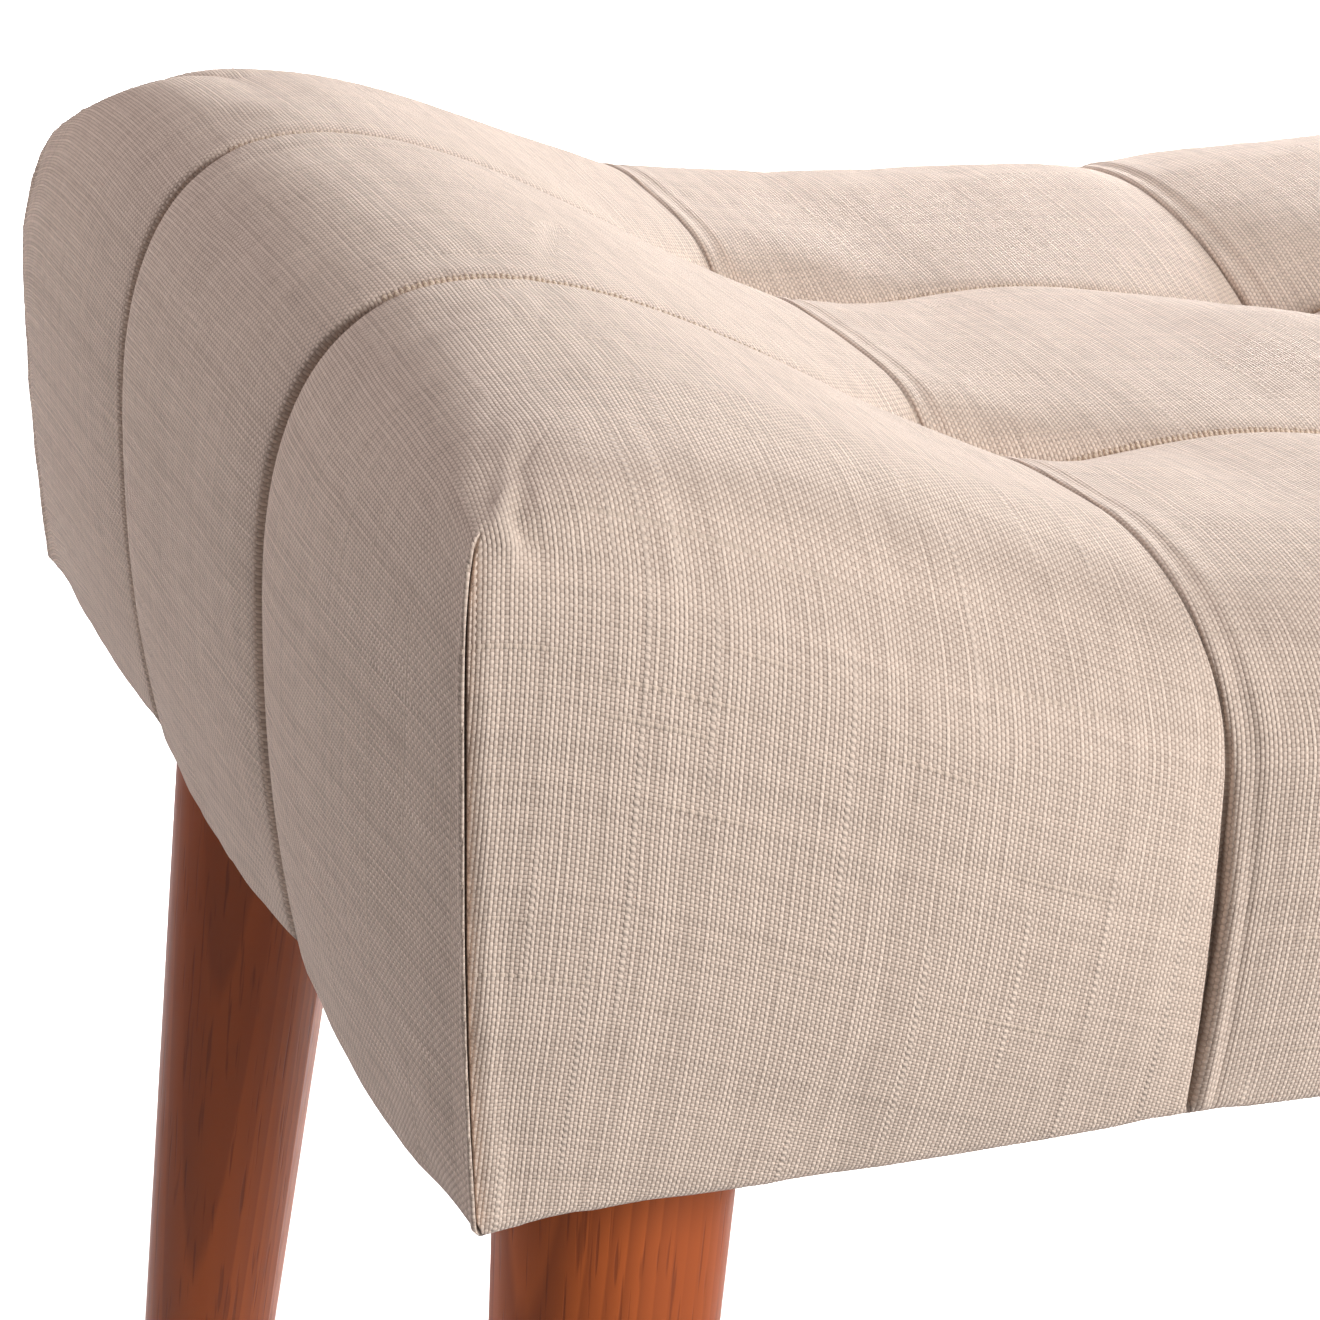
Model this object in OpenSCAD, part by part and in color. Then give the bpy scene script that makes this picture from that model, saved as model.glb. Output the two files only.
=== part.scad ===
// Pouf: a dished, tufted seat in plain weave linen on four splayed, tapered legs.
// The origin is on the floor under the middle of the seat. X runs along the seat,
// Y from the front to the back, and Z up. Heights named "above the seat's edge"
// start at the seat's lower edge, which is seat_lift above the floor.

/* [Seat] */
// Length of the seat between its corner seams
seat_l = 600; // [560:10:680]
// Depth of the seat between its corner seams
seat_w = 400; // [370:10:460]
// Height of the seat's lower edge above the floor
seat_lift = 300; // [250:10:360]
// Height of the pillows in the middle, above the seat's edge
mid_h = 103.5; // [98:0.5:118]
// Rise of the end rolls over the middle
roll_rise = 49; // [35:1:56]
// Part of that rise which falls off evenly along the seat
even_rise = 14; // [4:1:18]
// Distance from the end seam to the crest of the end roll
roll_in = 42; // [38:1:50]
// Spread of the end roll along the seat
roll_spread = 80; // [65:1:90]

/* [Tufting] */
// Height of the tufts in the middle, above the seat's edge
tuft_mid_h = 80; // [79:0.5:84]
// Height of the tufts at the end rolls, above the seat's edge
tuft_end_h = 83; // [80:1:90]
// Depth of the long grooves in the middle of the seat
groove_mid = 3; // [1.5:0.5:8]
// Depth of the long grooves over the end rolls
groove_roll = 1; // [0.5:0.5:3]
// Depth of the middle tuck pleat between its tufts
pleat_mid = 3; // [1.5:0.5:6]
// Depth of the outer tuck pleats between their tufts
pleat_end = 1.5; // [1:0.5:4]
// How far the middle row lies lower than the outer rows
row_drop = 5.8; // [0:0.2:6]
// How far the back falls below the front, between the end rolls
back_fall = 4; // [0:0.5:4]

/* [Sides] */
// How far the front and back swell out between the pleats
bulge_front = 13; // [8:0.5:16]
// How far the ends swell out between the grooves
bulge_end = 10; // [6:0.5:14]
// How far a pleat pulls the swell of the front and back in
pull_front = 6; // [2:0.5:7]
// How far a groove pulls the swell of the ends in
pull_end = 3; // [1:0.5:4]
// How far the corner seams swell out
corner_out = 3.5; // [0:0.5:5]
// Height at which the sides are fullest, above the seat's edge
full_h = 75; // [60:1:85]
// Width of the rounded shoulder along the front and back
shoulder_w = 53; // [45:1:60]
// How far the back corners hang below the front ones
back_tip_drop = 6.5; // [0:0.5:10]
// Rounding of the lower edge
edge_round = 4; // [3:0.5:6]

/* [Frame] */
// Height of the rails
rail_h = 32; // [30:1:34]
// Thickness of the rails
rail_t = 20; // [18:1:24]
// Gap between the frame and the seat's corner seams, all round
frame_in = 10; // [9:0.5:14]
// Thickness of the plywood board
board_t = 9; // [6:0.5:10]
// Length of a corner block's two long sides
block_l = 90; // [84:1:96]
// Width of a corner block's short ends
block_end = 25; // [22:1:30]

/* [Filling] */
// Thickness of the flat foam slab
slab_t = 24.5; // [20:0.5:25]
// Width of the foam end rolls
foam_roll_w = 112; // [100:2:116]
// Height of the foam end rolls above the slab
foam_roll_h = 50; // [40:1:52]
// Distance from the frame's front and back to the foam rolls' ends
roll_end_in = 16; // [14:1:24]
// Thickness of the wadding
wadding_t = 4; // [2:0.5:4]
// Width of the cover's turned under hem
hem_w = 24; // [22:0.5:26]
// Thickness of the hem
hem_t = 1.5; // [1:0.1:2]
// Thickness of the dust cover
dust_t = 0.8; // [0.5:0.1:1.2]
// Gap left between soft layers
soft_gap = 0.3; // [0.2:0.05:0.4]

/* [Legs] */
// Radius of a leg where it meets the seat
leg_top_r = 26.3; // [22:0.1:28]
// Radius of a leg at the floor
leg_foot_r = 16; // [12:0.5:18]
// Leg centre's distance from the end of the seat, at the seat
leg_in_x = 50.5; // [48:0.5:56]
// Leg centre's distance from the front of the seat, at the seat
leg_in_y = 60.5; // [54:0.5:64]
// Outward lean of a leg, to the end and to the front alike, in degrees
leg_splay = 5.3; // [2:0.1:6]
// Radius of the foot glides
glide_r = 12; // [8:0.5:12]
// Thickness of the foot glides
glide_t = 4; // [3:0.5:6]

/* [Hidden] */
$fn = 48;

// Clearance of a shank in its bore
fit_gap = 0.1;
// How far a cut runs past the face that it opens
overrun = 1;

// The seat's outer form
cols = 4;
rows = 3;
half_l = seat_l / 2;
half_w = seat_w / 2;
col_w = seat_l / cols;
row_w = seat_w / rows;
// Where the mesh lines cross one pillow
cell_shares = [0, 0.1, 0.35, 0.65, 0.9];
cells = len(cell_shares);
nx = cols * cells;
ny = rows * cells;
around = 2 * (nx + ny);
// Angles down the shoulder, and heights below it as shares of full_h
shoulder_turns = [22, 45, 68, 90];
skirt_shares = [0.6, 0.3, 0.09, 0];
// Squareness of the shoulder: along the front and back, along the ends, and at the corners
side_square = 2.2;
end_square = 2.6;
front_tip_square = 6;
back_tip_square = 2.5;
// Sharpness of the grooves, pleats and tufts
groove_power = 2.2;
pleat_power = 5;
tuft_power_roll = 8;
tuft_power_mid = 1.8;
tuft_across_mid = 2.25;
tuft_across_end = 6;
even_power = 1.5;
roll_flat = 100;
// Squareness of the foam end rolls
roll_square = 2.6;

// Heights of the frame's layers above the floor
frame_z = seat_lift + hem_t;
board_z = frame_z + rail_h;
slab_z = board_z + board_t;
slab_top = slab_z + slab_t;
frame_l = seat_l - 2 * frame_in;
frame_w = seat_w - 2 * frame_in;
inner_l = frame_l - 2 * rail_t;
inner_w = frame_w - 2 * rail_t;
frame_mid_z = frame_z + rail_h / 2;

// Staple wire and its two legs
staple_r = 0.45;
staple_span = 10;
staple_leg = 7;
cover_staple_in = 18;
dust_staple_in = 27;
dust_in = 14;
staple_margin = 100;
staple_pitch = 45;
staple_z = seat_lift - staple_r;
dust_z = seat_lift - 2 * staple_r - dust_t;
dust_staple_z = dust_z - staple_r;
block_z = dust_z + dust_t;

// Countersunk wood screws, all of one size
screw_r = 2;
screw_head_r = 4;
screw_head_h = 2.2;
screw_l = 30;
pocket_r = 5;
block_wood = 12;
block_screw_at = 78;
board_screw_rows = 4;
board_screw_end = 40;
cross_screw_apart = 16;

// Distance of a cross rail from the middle, between two rows of tufts
cross_at = col_w / 2;

// Dowels between the rails
dowel_r = 4;
dowel_l = 36;
dowel_apart = 14;

// Twine ties through the seat at the tufts
tie_r = 1.2;
tie_hole_r = 2.5;
washer_r = 11;
washer_t = 2;
knot_r = 2.6;

// Leg fittings
lean = atan(sqrt(2) * tan(leg_splay));
leg_top_z = dust_z;
leg_len = leg_top_z / cos(lean);
leg_taper = (leg_top_r - leg_foot_r) / leg_len;
leg_over = 12;
bolt_r = 4;
bolt_in = 34;
bolt_tip = 4;
tee_flange_r = 11;
tee_flange_t = 1.5;
tee_barrel_r = 5.2;
tee_barrel_l = 10;
tee_sink = 4.6;
tee_seat = (board_z - leg_top_z) / cos(lean) - tee_sink;
nail_r = 1.2;
nail_l = 16;
nail_head_r = 3;
nail_head_t = 1;
nail_recess = 1.2;

// Colours
linen = [0.86, 0.80, 0.73];
cherry = [0.55, 0.27, 0.15];
pine = [0.85, 0.72, 0.52];
ply = [0.80, 0.66, 0.46];
foam = [0.93, 0.90, 0.80];
fibre = [0.96, 0.96, 0.95];
steel = [0.70, 0.71, 0.73];
black = [0.12, 0.12, 0.13];
twine = [0.88, 0.84, 0.74];

// Height of the pillow crests at a distance from the middle along X
function roll_share(x) = exp(-pow((half_l - abs(x) - roll_in) / roll_spread, 2));
function crest_z(x) =
    seat_lift + mid_h + even_rise * pow(abs(x) / half_l, even_power)
    + (roll_rise - even_rise) * roll_share(x);

// 1 over the end rolls, 0 in the middle columns
function roll_zone(x) = exp(-pow(max(half_l - abs(x) - roll_in, 0) / roll_flat, 4));
function groove_depth(x) = groove_mid + (groove_roll - groove_mid) * roll_zone(x);

// Pleats deepen towards the middle of the seat
function mid_share(x) = max(1 - abs(x) / col_w, 0);
function pleat_depth(x) = pleat_end + (pleat_mid - pleat_end) * mid_share(x);
function tuft_z(x) = seat_lift + tuft_end_h + (tuft_mid_h - tuft_end_h) * mid_share(x);
function tuft_extra(x) = let (s = min(abs(x), col_w))
    crest_z(s) - tuft_z(s) - groove_depth(s) - pleat_depth(s);

// Place of a mesh line: which pillow it crosses, and where
function cell_of(i, count) = min(floor(i / cells), count - 1);
function share_of(i, count) = let (c = cell_of(i, count)) i == count * cells ? 1 : cell_shares[i - c * cells];

// Nearness to the seams of its own pillow: 1 on a seam, 0 at the crest or at the seat's rim
function nearness(i, count) = let (c = cell_of(i, count), s = share_of(i, count))
    c == 0 ? s : c == count - 1 ? 1 - s : abs(2 * s - 1);

// Nearness to the seat's rim: 1 on the rim, 0 from the first seam inwards
function rim_share(i, count) = let (c = cell_of(i, count), s = share_of(i, count))
    c == 0 ? 1 - s : c == count - 1 ? s : 0;

// Position of a mesh line when the rim lies inset by that much
function line_at(i, count, pitch, half, inset) = let (c = cell_of(i, count), s = share_of(i, count))
    c == 0 ? -(half - inset) + s * (pitch - inset)
    : c == count - 1 ? half - pitch + s * (pitch - inset)
    : -half + (c + s) * pitch;

// A point of the crowned top, inside the shoulders
function top_x(i) = line_at(i, cols, col_w, half_l, roll_in);
function top_y(j) = line_at(j, rows, row_w, half_w, shoulder_w);
function is_roll(i) = let (c = cell_of(i, cols)) c == 0 || c == cols - 1;
function tip_share(i, j) = pow(rim_share(i, cols), 2.5) * pow(rim_share(j, rows), 2);
function tuft_across(x) = tuft_across_mid + (tuft_across_end - tuft_across_mid) * min(abs(x) / col_w, 1);
function top_z(i, j) =
    let (
        x = top_x(i),
        nearx = nearness(i, cols),
        neary = nearness(j, rows),
        reach = top_y(j) / (half_w - shoulder_w),
        dish = (row_drop * (1 - pow(reach, 2)) + back_fall * max(reach, 0)) * pow(1 - roll_share(x), 2),
        tuft_power = is_roll(i) ? tuft_power_roll : tuft_power_mid
    )
    crest_z(x) - dish
    - groove_depth(x) * pow(neary, groove_power)
    - pleat_depth(x) * pow(nearx, pleat_power)
    - tuft_extra(x) * pow(nearx, tuft_power) * pow(neary, tuft_across(x))
    - (j > ny / 2 ? back_tip_drop * tip_share(i, j) : 0);

// The rim, walked from the front left corner: front, right, back and left side
function rim_i(q) = q <= nx ? q : q <= nx + ny ? nx : q <= 2 * nx + ny ? 2 * nx + ny - q : 0;
function rim_j(q) = q <= nx ? 0 : q <= nx + ny ? q - nx : q <= 2 * nx + ny ? ny : around - q;
function swell(near, rim, bulge, pull) =
    bulge * (1 - pow(rim, 3)) + corner_out * pow(rim, 3) - pull * pow(near, 6) * (1 - rim);

// How far a point of the section lies in from the seat's side, and how high it is
function section_in(turn, square, width, out) =
    -out + (width + out) * (1 - pow(sin(turn), 2 / square));
function section_up(turn, square) = turn == 90 ? 0 : pow(cos(turn), 2 / square);
function skirt_in(share, out) =
    -out + (out + (share == 0 ? edge_round : 0)) * pow(1 - share, 2.2);
function corner_square(j) = j > ny / 2 ? back_tip_square : front_tip_square;

function rim_point(q, ring) =
    let (
        i = rim_i(q),
        j = rim_j(q),
        on_long = j == 0 || j == ny,
        on_short = i == 0 || i == nx,
        out_y = on_long ? swell(nearness(i, cols), rim_share(i, cols), bulge_front, pull_front) : 0,
        out_x = on_short ? swell(nearness(j, rows), rim_share(j, rows), bulge_end, pull_end) : 0,
        tip = on_long && on_short ? 1 : pow(on_long ? rim_share(i, cols) : rim_share(j, rows), 2),
        tip_square = corner_square(j),
        own_square = on_long ? side_square : end_square,
        square = own_square + (tip_square - own_square) * tip,
        upper = ring < len(shoulder_turns),
        turn = upper ? shoulder_turns[ring] : 90,
        share = upper ? 0 : skirt_shares[ring - len(shoulder_turns)],
        corner_in_x = upper ? section_in(turn, tip_square, roll_in, corner_out) : skirt_in(share, corner_out),
        corner_in_y = upper ? section_in(turn, tip_square, shoulder_w, corner_out) : skirt_in(share, corner_out),
        in_x = upper ? section_in(turn, square, roll_in, out_x) : skirt_in(share, out_x),
        in_y = upper ? section_in(turn, square, shoulder_w, out_y) : skirt_in(share, out_y),
        x = on_short ? (i == 0 ? -1 : 1) * (half_l - in_x) : line_at(i, cols, col_w, half_l, corner_in_x),
        y = on_long ? (j == 0 ? -1 : 1) * (half_w - in_y) : line_at(j, rows, row_w, half_w, corner_in_y),
        crown = top_z(i, j) - seat_lift - full_h,
        z = upper ? full_h + crown * section_up(turn, square) : full_h * share
    )
    [x, y, seat_lift + z];

// The seat's closed outer form, from its crown to its flat underside
module seat_form() {
    rings = len(shoulder_turns) + len(skirt_shares);
    top_points = [for (i = [0:nx], j = [0:ny]) [top_x(i), top_y(j), top_z(i, j)]];
    rim_points = [for (k = [0:rings - 1], q = [0:around - 1]) rim_point(q, k)];
    under = [[0, 0, seat_lift]];
    first = len(top_points);
    hub = first + len(rim_points);
    function at(i, j) = i * (ny + 1) + j;
    function on_ring(k, q) = let (p = q % around)
        k == 0 ? at(rim_i(p), rim_j(p)) : first + (k - 1) * around + p;
    top_faces = [
        for (i = [0:nx - 1], j = [0:ny - 1], half = [0, 1])
            half == 0 ? [at(i, j), at(i, j + 1), at(i + 1, j + 1)]
            : [at(i, j), at(i + 1, j + 1), at(i + 1, j)]
    ];
    side_faces = [
        for (k = [0:rings - 1], q = [0:around - 1], half = [0, 1])
            half == 0 ? [on_ring(k, q), on_ring(k, q + 1), on_ring(k + 1, q + 1)]
            : [on_ring(k, q), on_ring(k + 1, q + 1), on_ring(k + 1, q)]
    ];
    under_faces = [for (q = [0:around - 1]) [on_ring(rings, q), on_ring(rings, q + 1), hub]];
    polyhedron(concat(top_points, rim_points, under), concat(top_faces, side_faces, under_faces));
}

// Outline of the foam across its length, grown on all sides by the layers that lie on it
function foam_curve(side, grow) =
    let (a = foam_roll_w / 2, middle = side * (frame_l / 2 - a))
    [for (t = [180:-15:0])
        let (
            c = pow(abs(cos(t)), 2 / roll_square) * sign(cos(t)),
            s = t == 0 || t == 180 ? 0 : pow(sin(t), 2 / roll_square)
        )
        [middle + (a + grow) * c, max(slab_top + grow, slab_top + (foam_roll_h + grow) * s)]
    ];
function bed_outline(grow, foot) =
    concat(
        [[-frame_l / 2 - grow, foot]],
        foam_curve(-1, grow), foam_curve(1, grow),
        [[frame_l / 2 + grow, foot]]
    );
roll_len = frame_w - 2 * roll_end_in;
module bed(grow, foot, width) {
    rotate([90, 0, 0])
        linear_extrude(width, center = true) polygon(bed_outline(grow, foot));
}

// Places
tuft_places = [for (c = [1:cols - 1], r = [1:rows - 1]) [-half_l + c * col_w, -half_w + r * row_w]];
corner_signs = [for (sx = [-1, 1], sy = [-1, 1]) [sx, sy]];
function edge_spots(length) =
    let (room = length - 2 * staple_margin, count = max(floor(room / staple_pitch), 1))
    [for (k = [0:count]) -room / 2 + k * room / count];
long_spots = edge_spots(seat_l);
short_spots = edge_spots(seat_w);

module in_corner(corner) {
    mirror([corner[0] > 0 ? 1 : 0, 0, 0]) mirror([0, corner[1] > 0 ? 1 : 0, 0]) children();
}
module on_leg(corner) {
    in_corner(corner)
        translate([-half_l + leg_in_x, -half_w + leg_in_y, leg_top_z])
            rotate([0, lean, 45]) children();
}

// Staples: two legs up into the rail, and the crown across them
module staple_at(inset, crown_z, part) {
    for (side = [-1, 1], x = long_spots)
        translate([x, side * (half_w - inset), crown_z]) staple(part);
    for (side = [-1, 1], y = short_spots)
        translate([side * (half_l - inset), y, crown_z]) rotate(90) staple(part);
}
module staple(part) {
    grow = part == "bore" ? fit_gap / 2 : 0;
    for (side = [-1, 1])
        translate([side * staple_span / 2, 0, 0])
            cylinder(staple_leg + grow, r = staple_r + grow, $fn = 16);
    if (part == "wire")
        rotate([0, 90, 0])
            cylinder(staple_span + 2 * staple_r, r = staple_r, center = true, $fn = 16);
}
module staple_bores() {
    staple_at(cover_staple_in, staple_z, "bore");
    staple_at(dust_staple_in, dust_staple_z, "bore");
}

// A countersunk screw, its head flush at z = 0 and its tip down
module screw(part) {
    grow = part == "bore" ? fit_gap : 0;
    translate([0, 0, -screw_l - grow])
        cylinder(screw_l + grow, r = screw_r + grow, $fn = 24);
    translate([0, 0, -screw_head_h - grow])
        cylinder(screw_head_h + grow, r1 = screw_r + grow, r2 = screw_head_r + grow, $fn = 24);
    if (part == "bore")
        cylinder(overrun, r = screw_head_r + grow, $fn = 24);
}
module place_board_screws() {
    for (k = [0:board_screw_rows - 1], side = [-1, 1])
        translate([
            -frame_l / 2 + board_screw_end + k * (frame_l - 2 * board_screw_end) / (board_screw_rows - 1),
            side * (frame_w - rail_t) / 2, slab_z
        ]) children();
    for (x = [(frame_l - rail_t) / 2, cross_at], side = [-1, 1])
        translate([side * x, 0, slab_z]) children();
}

// Screws through the pockets of a corner block, one into each rail
module place_block_screws(corner) {
    in_corner(corner) translate([-inner_l / 2, -inner_w / 2, frame_mid_z]) {
        translate([block_screw_at, block_wood, 0]) rotate([-90, 0, 0]) children();
        translate([block_wood, block_screw_at, 0]) rotate([0, 90, 0]) children();
    }
}
module place_cross_screws() {
    for (end = [-1, 1], side = [-1, 1], k = [-1, 1])
        translate([end * cross_at, side * frame_w / 2, frame_mid_z + k * cross_screw_apart / 2])
            rotate([-side * 90, 0, 0]) children();
}
module place_dowels() {
    for (corner = corner_signs, k = [-1, 1])
        translate([
            corner[0] * (frame_l - rail_t) / 2,
            corner[1] * (inner_w / 2),
            frame_mid_z + k * dowel_apart / 2
        ]) rotate([90, 0, 0]) children();
}
module dowel(grow) {
    cylinder(dowel_l + 2 * grow, r = dowel_r + grow, center = true);
}
module frame_bores() {
    place_dowels() dowel(fit_gap);
    for (corner = corner_signs) place_block_screws(corner) screw("bore");
    place_cross_screws() screw("bore");
    place_board_screws() screw("bore");
    staple_bores();
}

// Frame
module long_rail(side) {
    color(pine) difference() {
        translate([-frame_l / 2, side > 0 ? inner_w / 2 : -frame_w / 2, frame_z])
            cube([frame_l, rail_t, rail_h]);
        frame_bores();
    }
}
module short_rail(side) {
    color(pine) difference() {
        translate([side > 0 ? inner_l / 2 : -frame_l / 2, -inner_w / 2, frame_z])
            cube([rail_t, inner_w, rail_h]);
        frame_bores();
    }
}
module rail_front() long_rail(-1);
module rail_back() long_rail(1);
module rail_left() short_rail(-1);
module rail_right() short_rail(1);
module cross_rail(side) {
    color(pine) difference() {
        translate([side * cross_at - rail_t / 2, -inner_w / 2, frame_z])
            cube([rail_t, inner_w, rail_h]);
        place_cross_screws() screw("bore");
        place_board_screws() screw("bore");
    }
}
module cross_rail_left() cross_rail(-1);
module cross_rail_right() cross_rail(1);
module rail_dowels() {
    color(pine) place_dowels() dowel(0);
}
module corner_block(corner) {
    color(pine) difference() {
        in_corner(corner) translate([-inner_l / 2, -inner_w / 2, block_z])
            linear_extrude(board_z - block_z) polygon([
                [0, 0], [block_l, 0], [block_l, block_end], [block_end, block_l], [0, block_l]
            ]);
        place_block_screws(corner) screw("bore");
        place_block_screws(corner) cylinder(block_l, r = pocket_r, $fn = 32);
        on_leg(corner) {
            translate([0, 0, -overrun]) cylinder(board_z, r = bolt_r + fit_gap);
            translate([0, 0, tee_seat - tee_barrel_l - fit_gap])
                cylinder(board_z, r = tee_barrel_r + fit_gap);
            translate([0, 0, tee_seat]) cylinder(board_z, r = tee_flange_r + fit_gap);
        }
    }
}
module corner_block_front_left() corner_block([-1, -1]);
module corner_block_front_right() corner_block([1, -1]);
module corner_block_back_left() corner_block([-1, 1]);
module corner_block_back_right() corner_block([1, 1]);
module block_screws() {
    color(steel) for (corner = corner_signs) place_block_screws(corner) screw("steel");
}
module cross_rail_screws() {
    color(steel) place_cross_screws() screw("steel");
}
module board_screws() {
    color(steel) place_board_screws() screw("steel");
}
module seat_board() {
    color(ply) difference() {
        translate([-frame_l / 2, -frame_w / 2, board_z]) cube([frame_l, frame_w, board_t]);
        place_board_screws() screw("bore");
        tie_bores();
    }
}

// Filling
module tie_bores() {
    for (p = tuft_places)
        translate([p[0], p[1], seat_lift]) cylinder(mid_h, r = tie_hole_r, $fn = 24);
}
module foam_slab() {
    color(foam) difference() {
        translate([-frame_l / 2, -frame_w / 2, slab_z]) cube([frame_l, frame_w, slab_t]);
        tie_bores();
    }
}
module foam_roll(side) {
    color(foam) rotate([90, 0, 0])
        linear_extrude(roll_len, center = true) polygon(foam_curve(side, 0));
}
module foam_roll_left() foam_roll(-1);
module foam_roll_right() foam_roll(1);
module wadding() {
    color(fibre) difference() {
        bed(wadding_t + soft_gap, slab_z, roll_len);
        bed(soft_gap, slab_z - overrun, roll_len + 2 * overrun);
        tie_bores();
    }
}
ceiling_grow = wadding_t + 2 * soft_gap;
module tufted_cover() {
    color(linen) difference() {
        seat_form();
        bed(ceiling_grow, frame_z, roll_len + 2 * soft_gap);
        translate([-frame_l / 2 - ceiling_grow, -frame_w / 2 - soft_gap, frame_z])
            cube([frame_l + 2 * ceiling_grow, frame_w + 2 * soft_gap, slab_top + soft_gap - frame_z]);
        translate([-half_l + hem_w, -half_w + hem_w, seat_lift - overrun])
            cube([seat_l - 2 * hem_w, seat_w - 2 * hem_w, hem_t + 2 * overrun]);
        staple_at(cover_staple_in, staple_z, "bore");
    }
}
module tuft_ties() {
    tie_top = slab_top + ceiling_grow;
    tie_foot = board_z - washer_t;
    color(twine) for (p = tuft_places) {
        translate([p[0], p[1], tie_foot - knot_r])
            cylinder(tie_top - tie_foot + knot_r, r = tie_r, $fn = 16);
        translate([p[0], p[1], tie_foot - knot_r]) sphere(r = knot_r, $fn = 24);
    }
}
module tuft_washers() {
    color(steel) for (p = tuft_places)
        translate([p[0], p[1], board_z - washer_t]) difference() {
            cylinder(washer_t, r = washer_r);
            translate([0, 0, -overrun])
                cylinder(washer_t + 2 * overrun, r = tie_r + fit_gap, $fn = 16);
        }
}
module cover_staples() {
    color(steel) staple_at(cover_staple_in, staple_z, "wire");
}
module dust_cover() {
    color(black) difference() {
        translate([-half_l + dust_in, -half_w + dust_in, dust_z])
            cube([seat_l - 2 * dust_in, seat_w - 2 * dust_in, dust_t]);
        staple_at(dust_staple_in, dust_staple_z, "bore");
        for (corner = corner_signs)
            on_leg(corner) cylinder(bolt_in, r = bolt_r + soft_gap, center = true);
    }
}
module dust_cover_staples() {
    color(steel) staple_at(dust_staple_in, dust_staple_z, "wire");
}

// Legs
module leg(corner) {
    color(cherry) difference() {
        intersection() {
            on_leg(corner) translate([0, 0, -leg_len - leg_over])
                cylinder(
                    leg_len + 2 * leg_over,
                    r1 = leg_foot_r - leg_taper * leg_over,
                    r2 = leg_top_r + leg_taper * leg_over
                );
            translate([-seat_l, -seat_w, glide_t])
                cube([2 * seat_l, 2 * seat_w, leg_top_z - glide_t]);
        }
        on_leg(corner) translate([0, 0, -bolt_in - fit_gap])
            cylinder(bolt_in + leg_over, r = bolt_r + fit_gap);
        foot_axis(corner) cylinder(nail_l + fit_gap, r = nail_r + fit_gap, $fn = 24);
    }
}
module leg_front_left() leg([-1, -1]);
module leg_front_right() leg([1, -1]);
module leg_back_left() leg([-1, 1]);
module leg_back_right() leg([1, 1]);
module hanger_bolts() {
    color(steel) for (corner = corner_signs) on_leg(corner) {
        translate([0, 0, bolt_tip - bolt_in])
            cylinder(bolt_in - bolt_tip + tee_seat + tee_flange_t, r = bolt_r);
        translate([0, 0, -bolt_in]) cylinder(bolt_tip, r1 = bolt_r / 4, r2 = bolt_r);
    }
}
module tee_nuts() {
    color(steel) for (corner = corner_signs) on_leg(corner) difference() {
        union() {
            translate([0, 0, tee_seat]) cylinder(tee_flange_t, r = tee_flange_r);
            translate([0, 0, tee_seat - tee_barrel_l]) cylinder(tee_barrel_l + overrun, r = tee_barrel_r);
        }
        cylinder(board_z, r = bolt_r + fit_gap);
    }
}

// A glide's upright axis, from the floor under the end of the leg's own axis
module foot_axis(corner) {
    in_corner(corner)
        translate([
            -half_l + leg_in_x - leg_top_z * tan(leg_splay),
            -half_w + leg_in_y - leg_top_z * tan(leg_splay), 0
        ]) children();
}
module foot_glide(corner) {
    color(black) foot_axis(corner) difference() {
        cylinder(glide_t, r1 = glide_r - glide_t / 4, r2 = glide_r);
        translate([0, 0, -overrun]) cylinder(glide_t + 2 * overrun, r = nail_r + fit_gap, $fn = 24);
        translate([0, 0, -overrun])
            cylinder(nail_recess + nail_head_t + fit_gap + overrun, r = nail_head_r + fit_gap, $fn = 32);
    }
}
module foot_glide_front_left() foot_glide([-1, -1]);
module foot_glide_front_right() foot_glide([1, -1]);
module foot_glide_back_left() foot_glide([-1, 1]);
module foot_glide_back_right() foot_glide([1, 1]);
module glide_nails() {
    color(steel) for (corner = corner_signs) foot_axis(corner) {
        translate([0, 0, nail_recess]) cylinder(nail_head_t + fit_gap, r = nail_head_r, $fn = 32);
        translate([0, 0, nail_recess]) cylinder(nail_l - nail_recess, r = nail_r, $fn = 24);
    }
}

rail_front();
rail_back();
rail_left();
rail_right();
cross_rail_left();
cross_rail_right();
corner_block_front_left();
corner_block_front_right();
corner_block_back_left();
corner_block_back_right();
rail_dowels();
block_screws();
cross_rail_screws();
board_screws();
seat_board();
foam_slab();
foam_roll_left();
foam_roll_right();
wadding();
tufted_cover();
tuft_ties();
tuft_washers();
cover_staples();
dust_cover();
dust_cover_staples();
leg_front_left();
leg_front_right();
leg_back_left();
leg_back_right();
hanger_bolts();
tee_nuts();
foot_glide_front_left();
foot_glide_front_right();
foot_glide_back_left();
foot_glide_back_right();
glide_nails();
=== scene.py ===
# %% [markdown]
# A tufted pouf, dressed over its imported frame
#
# The real object is a low padded seat in natural linen on four turned legs.
# The frame already holds every piece at its real size. This lesson gives the
# pieces their cloth, wood and metal, and lays a finely modelled linen cover
# over the plain padded solid.

# %% Load the frame
import math
from functools import partialmethod

import bmesh
import bpy
import numpy as np
from mathutils import Matrix, Vector


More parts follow.
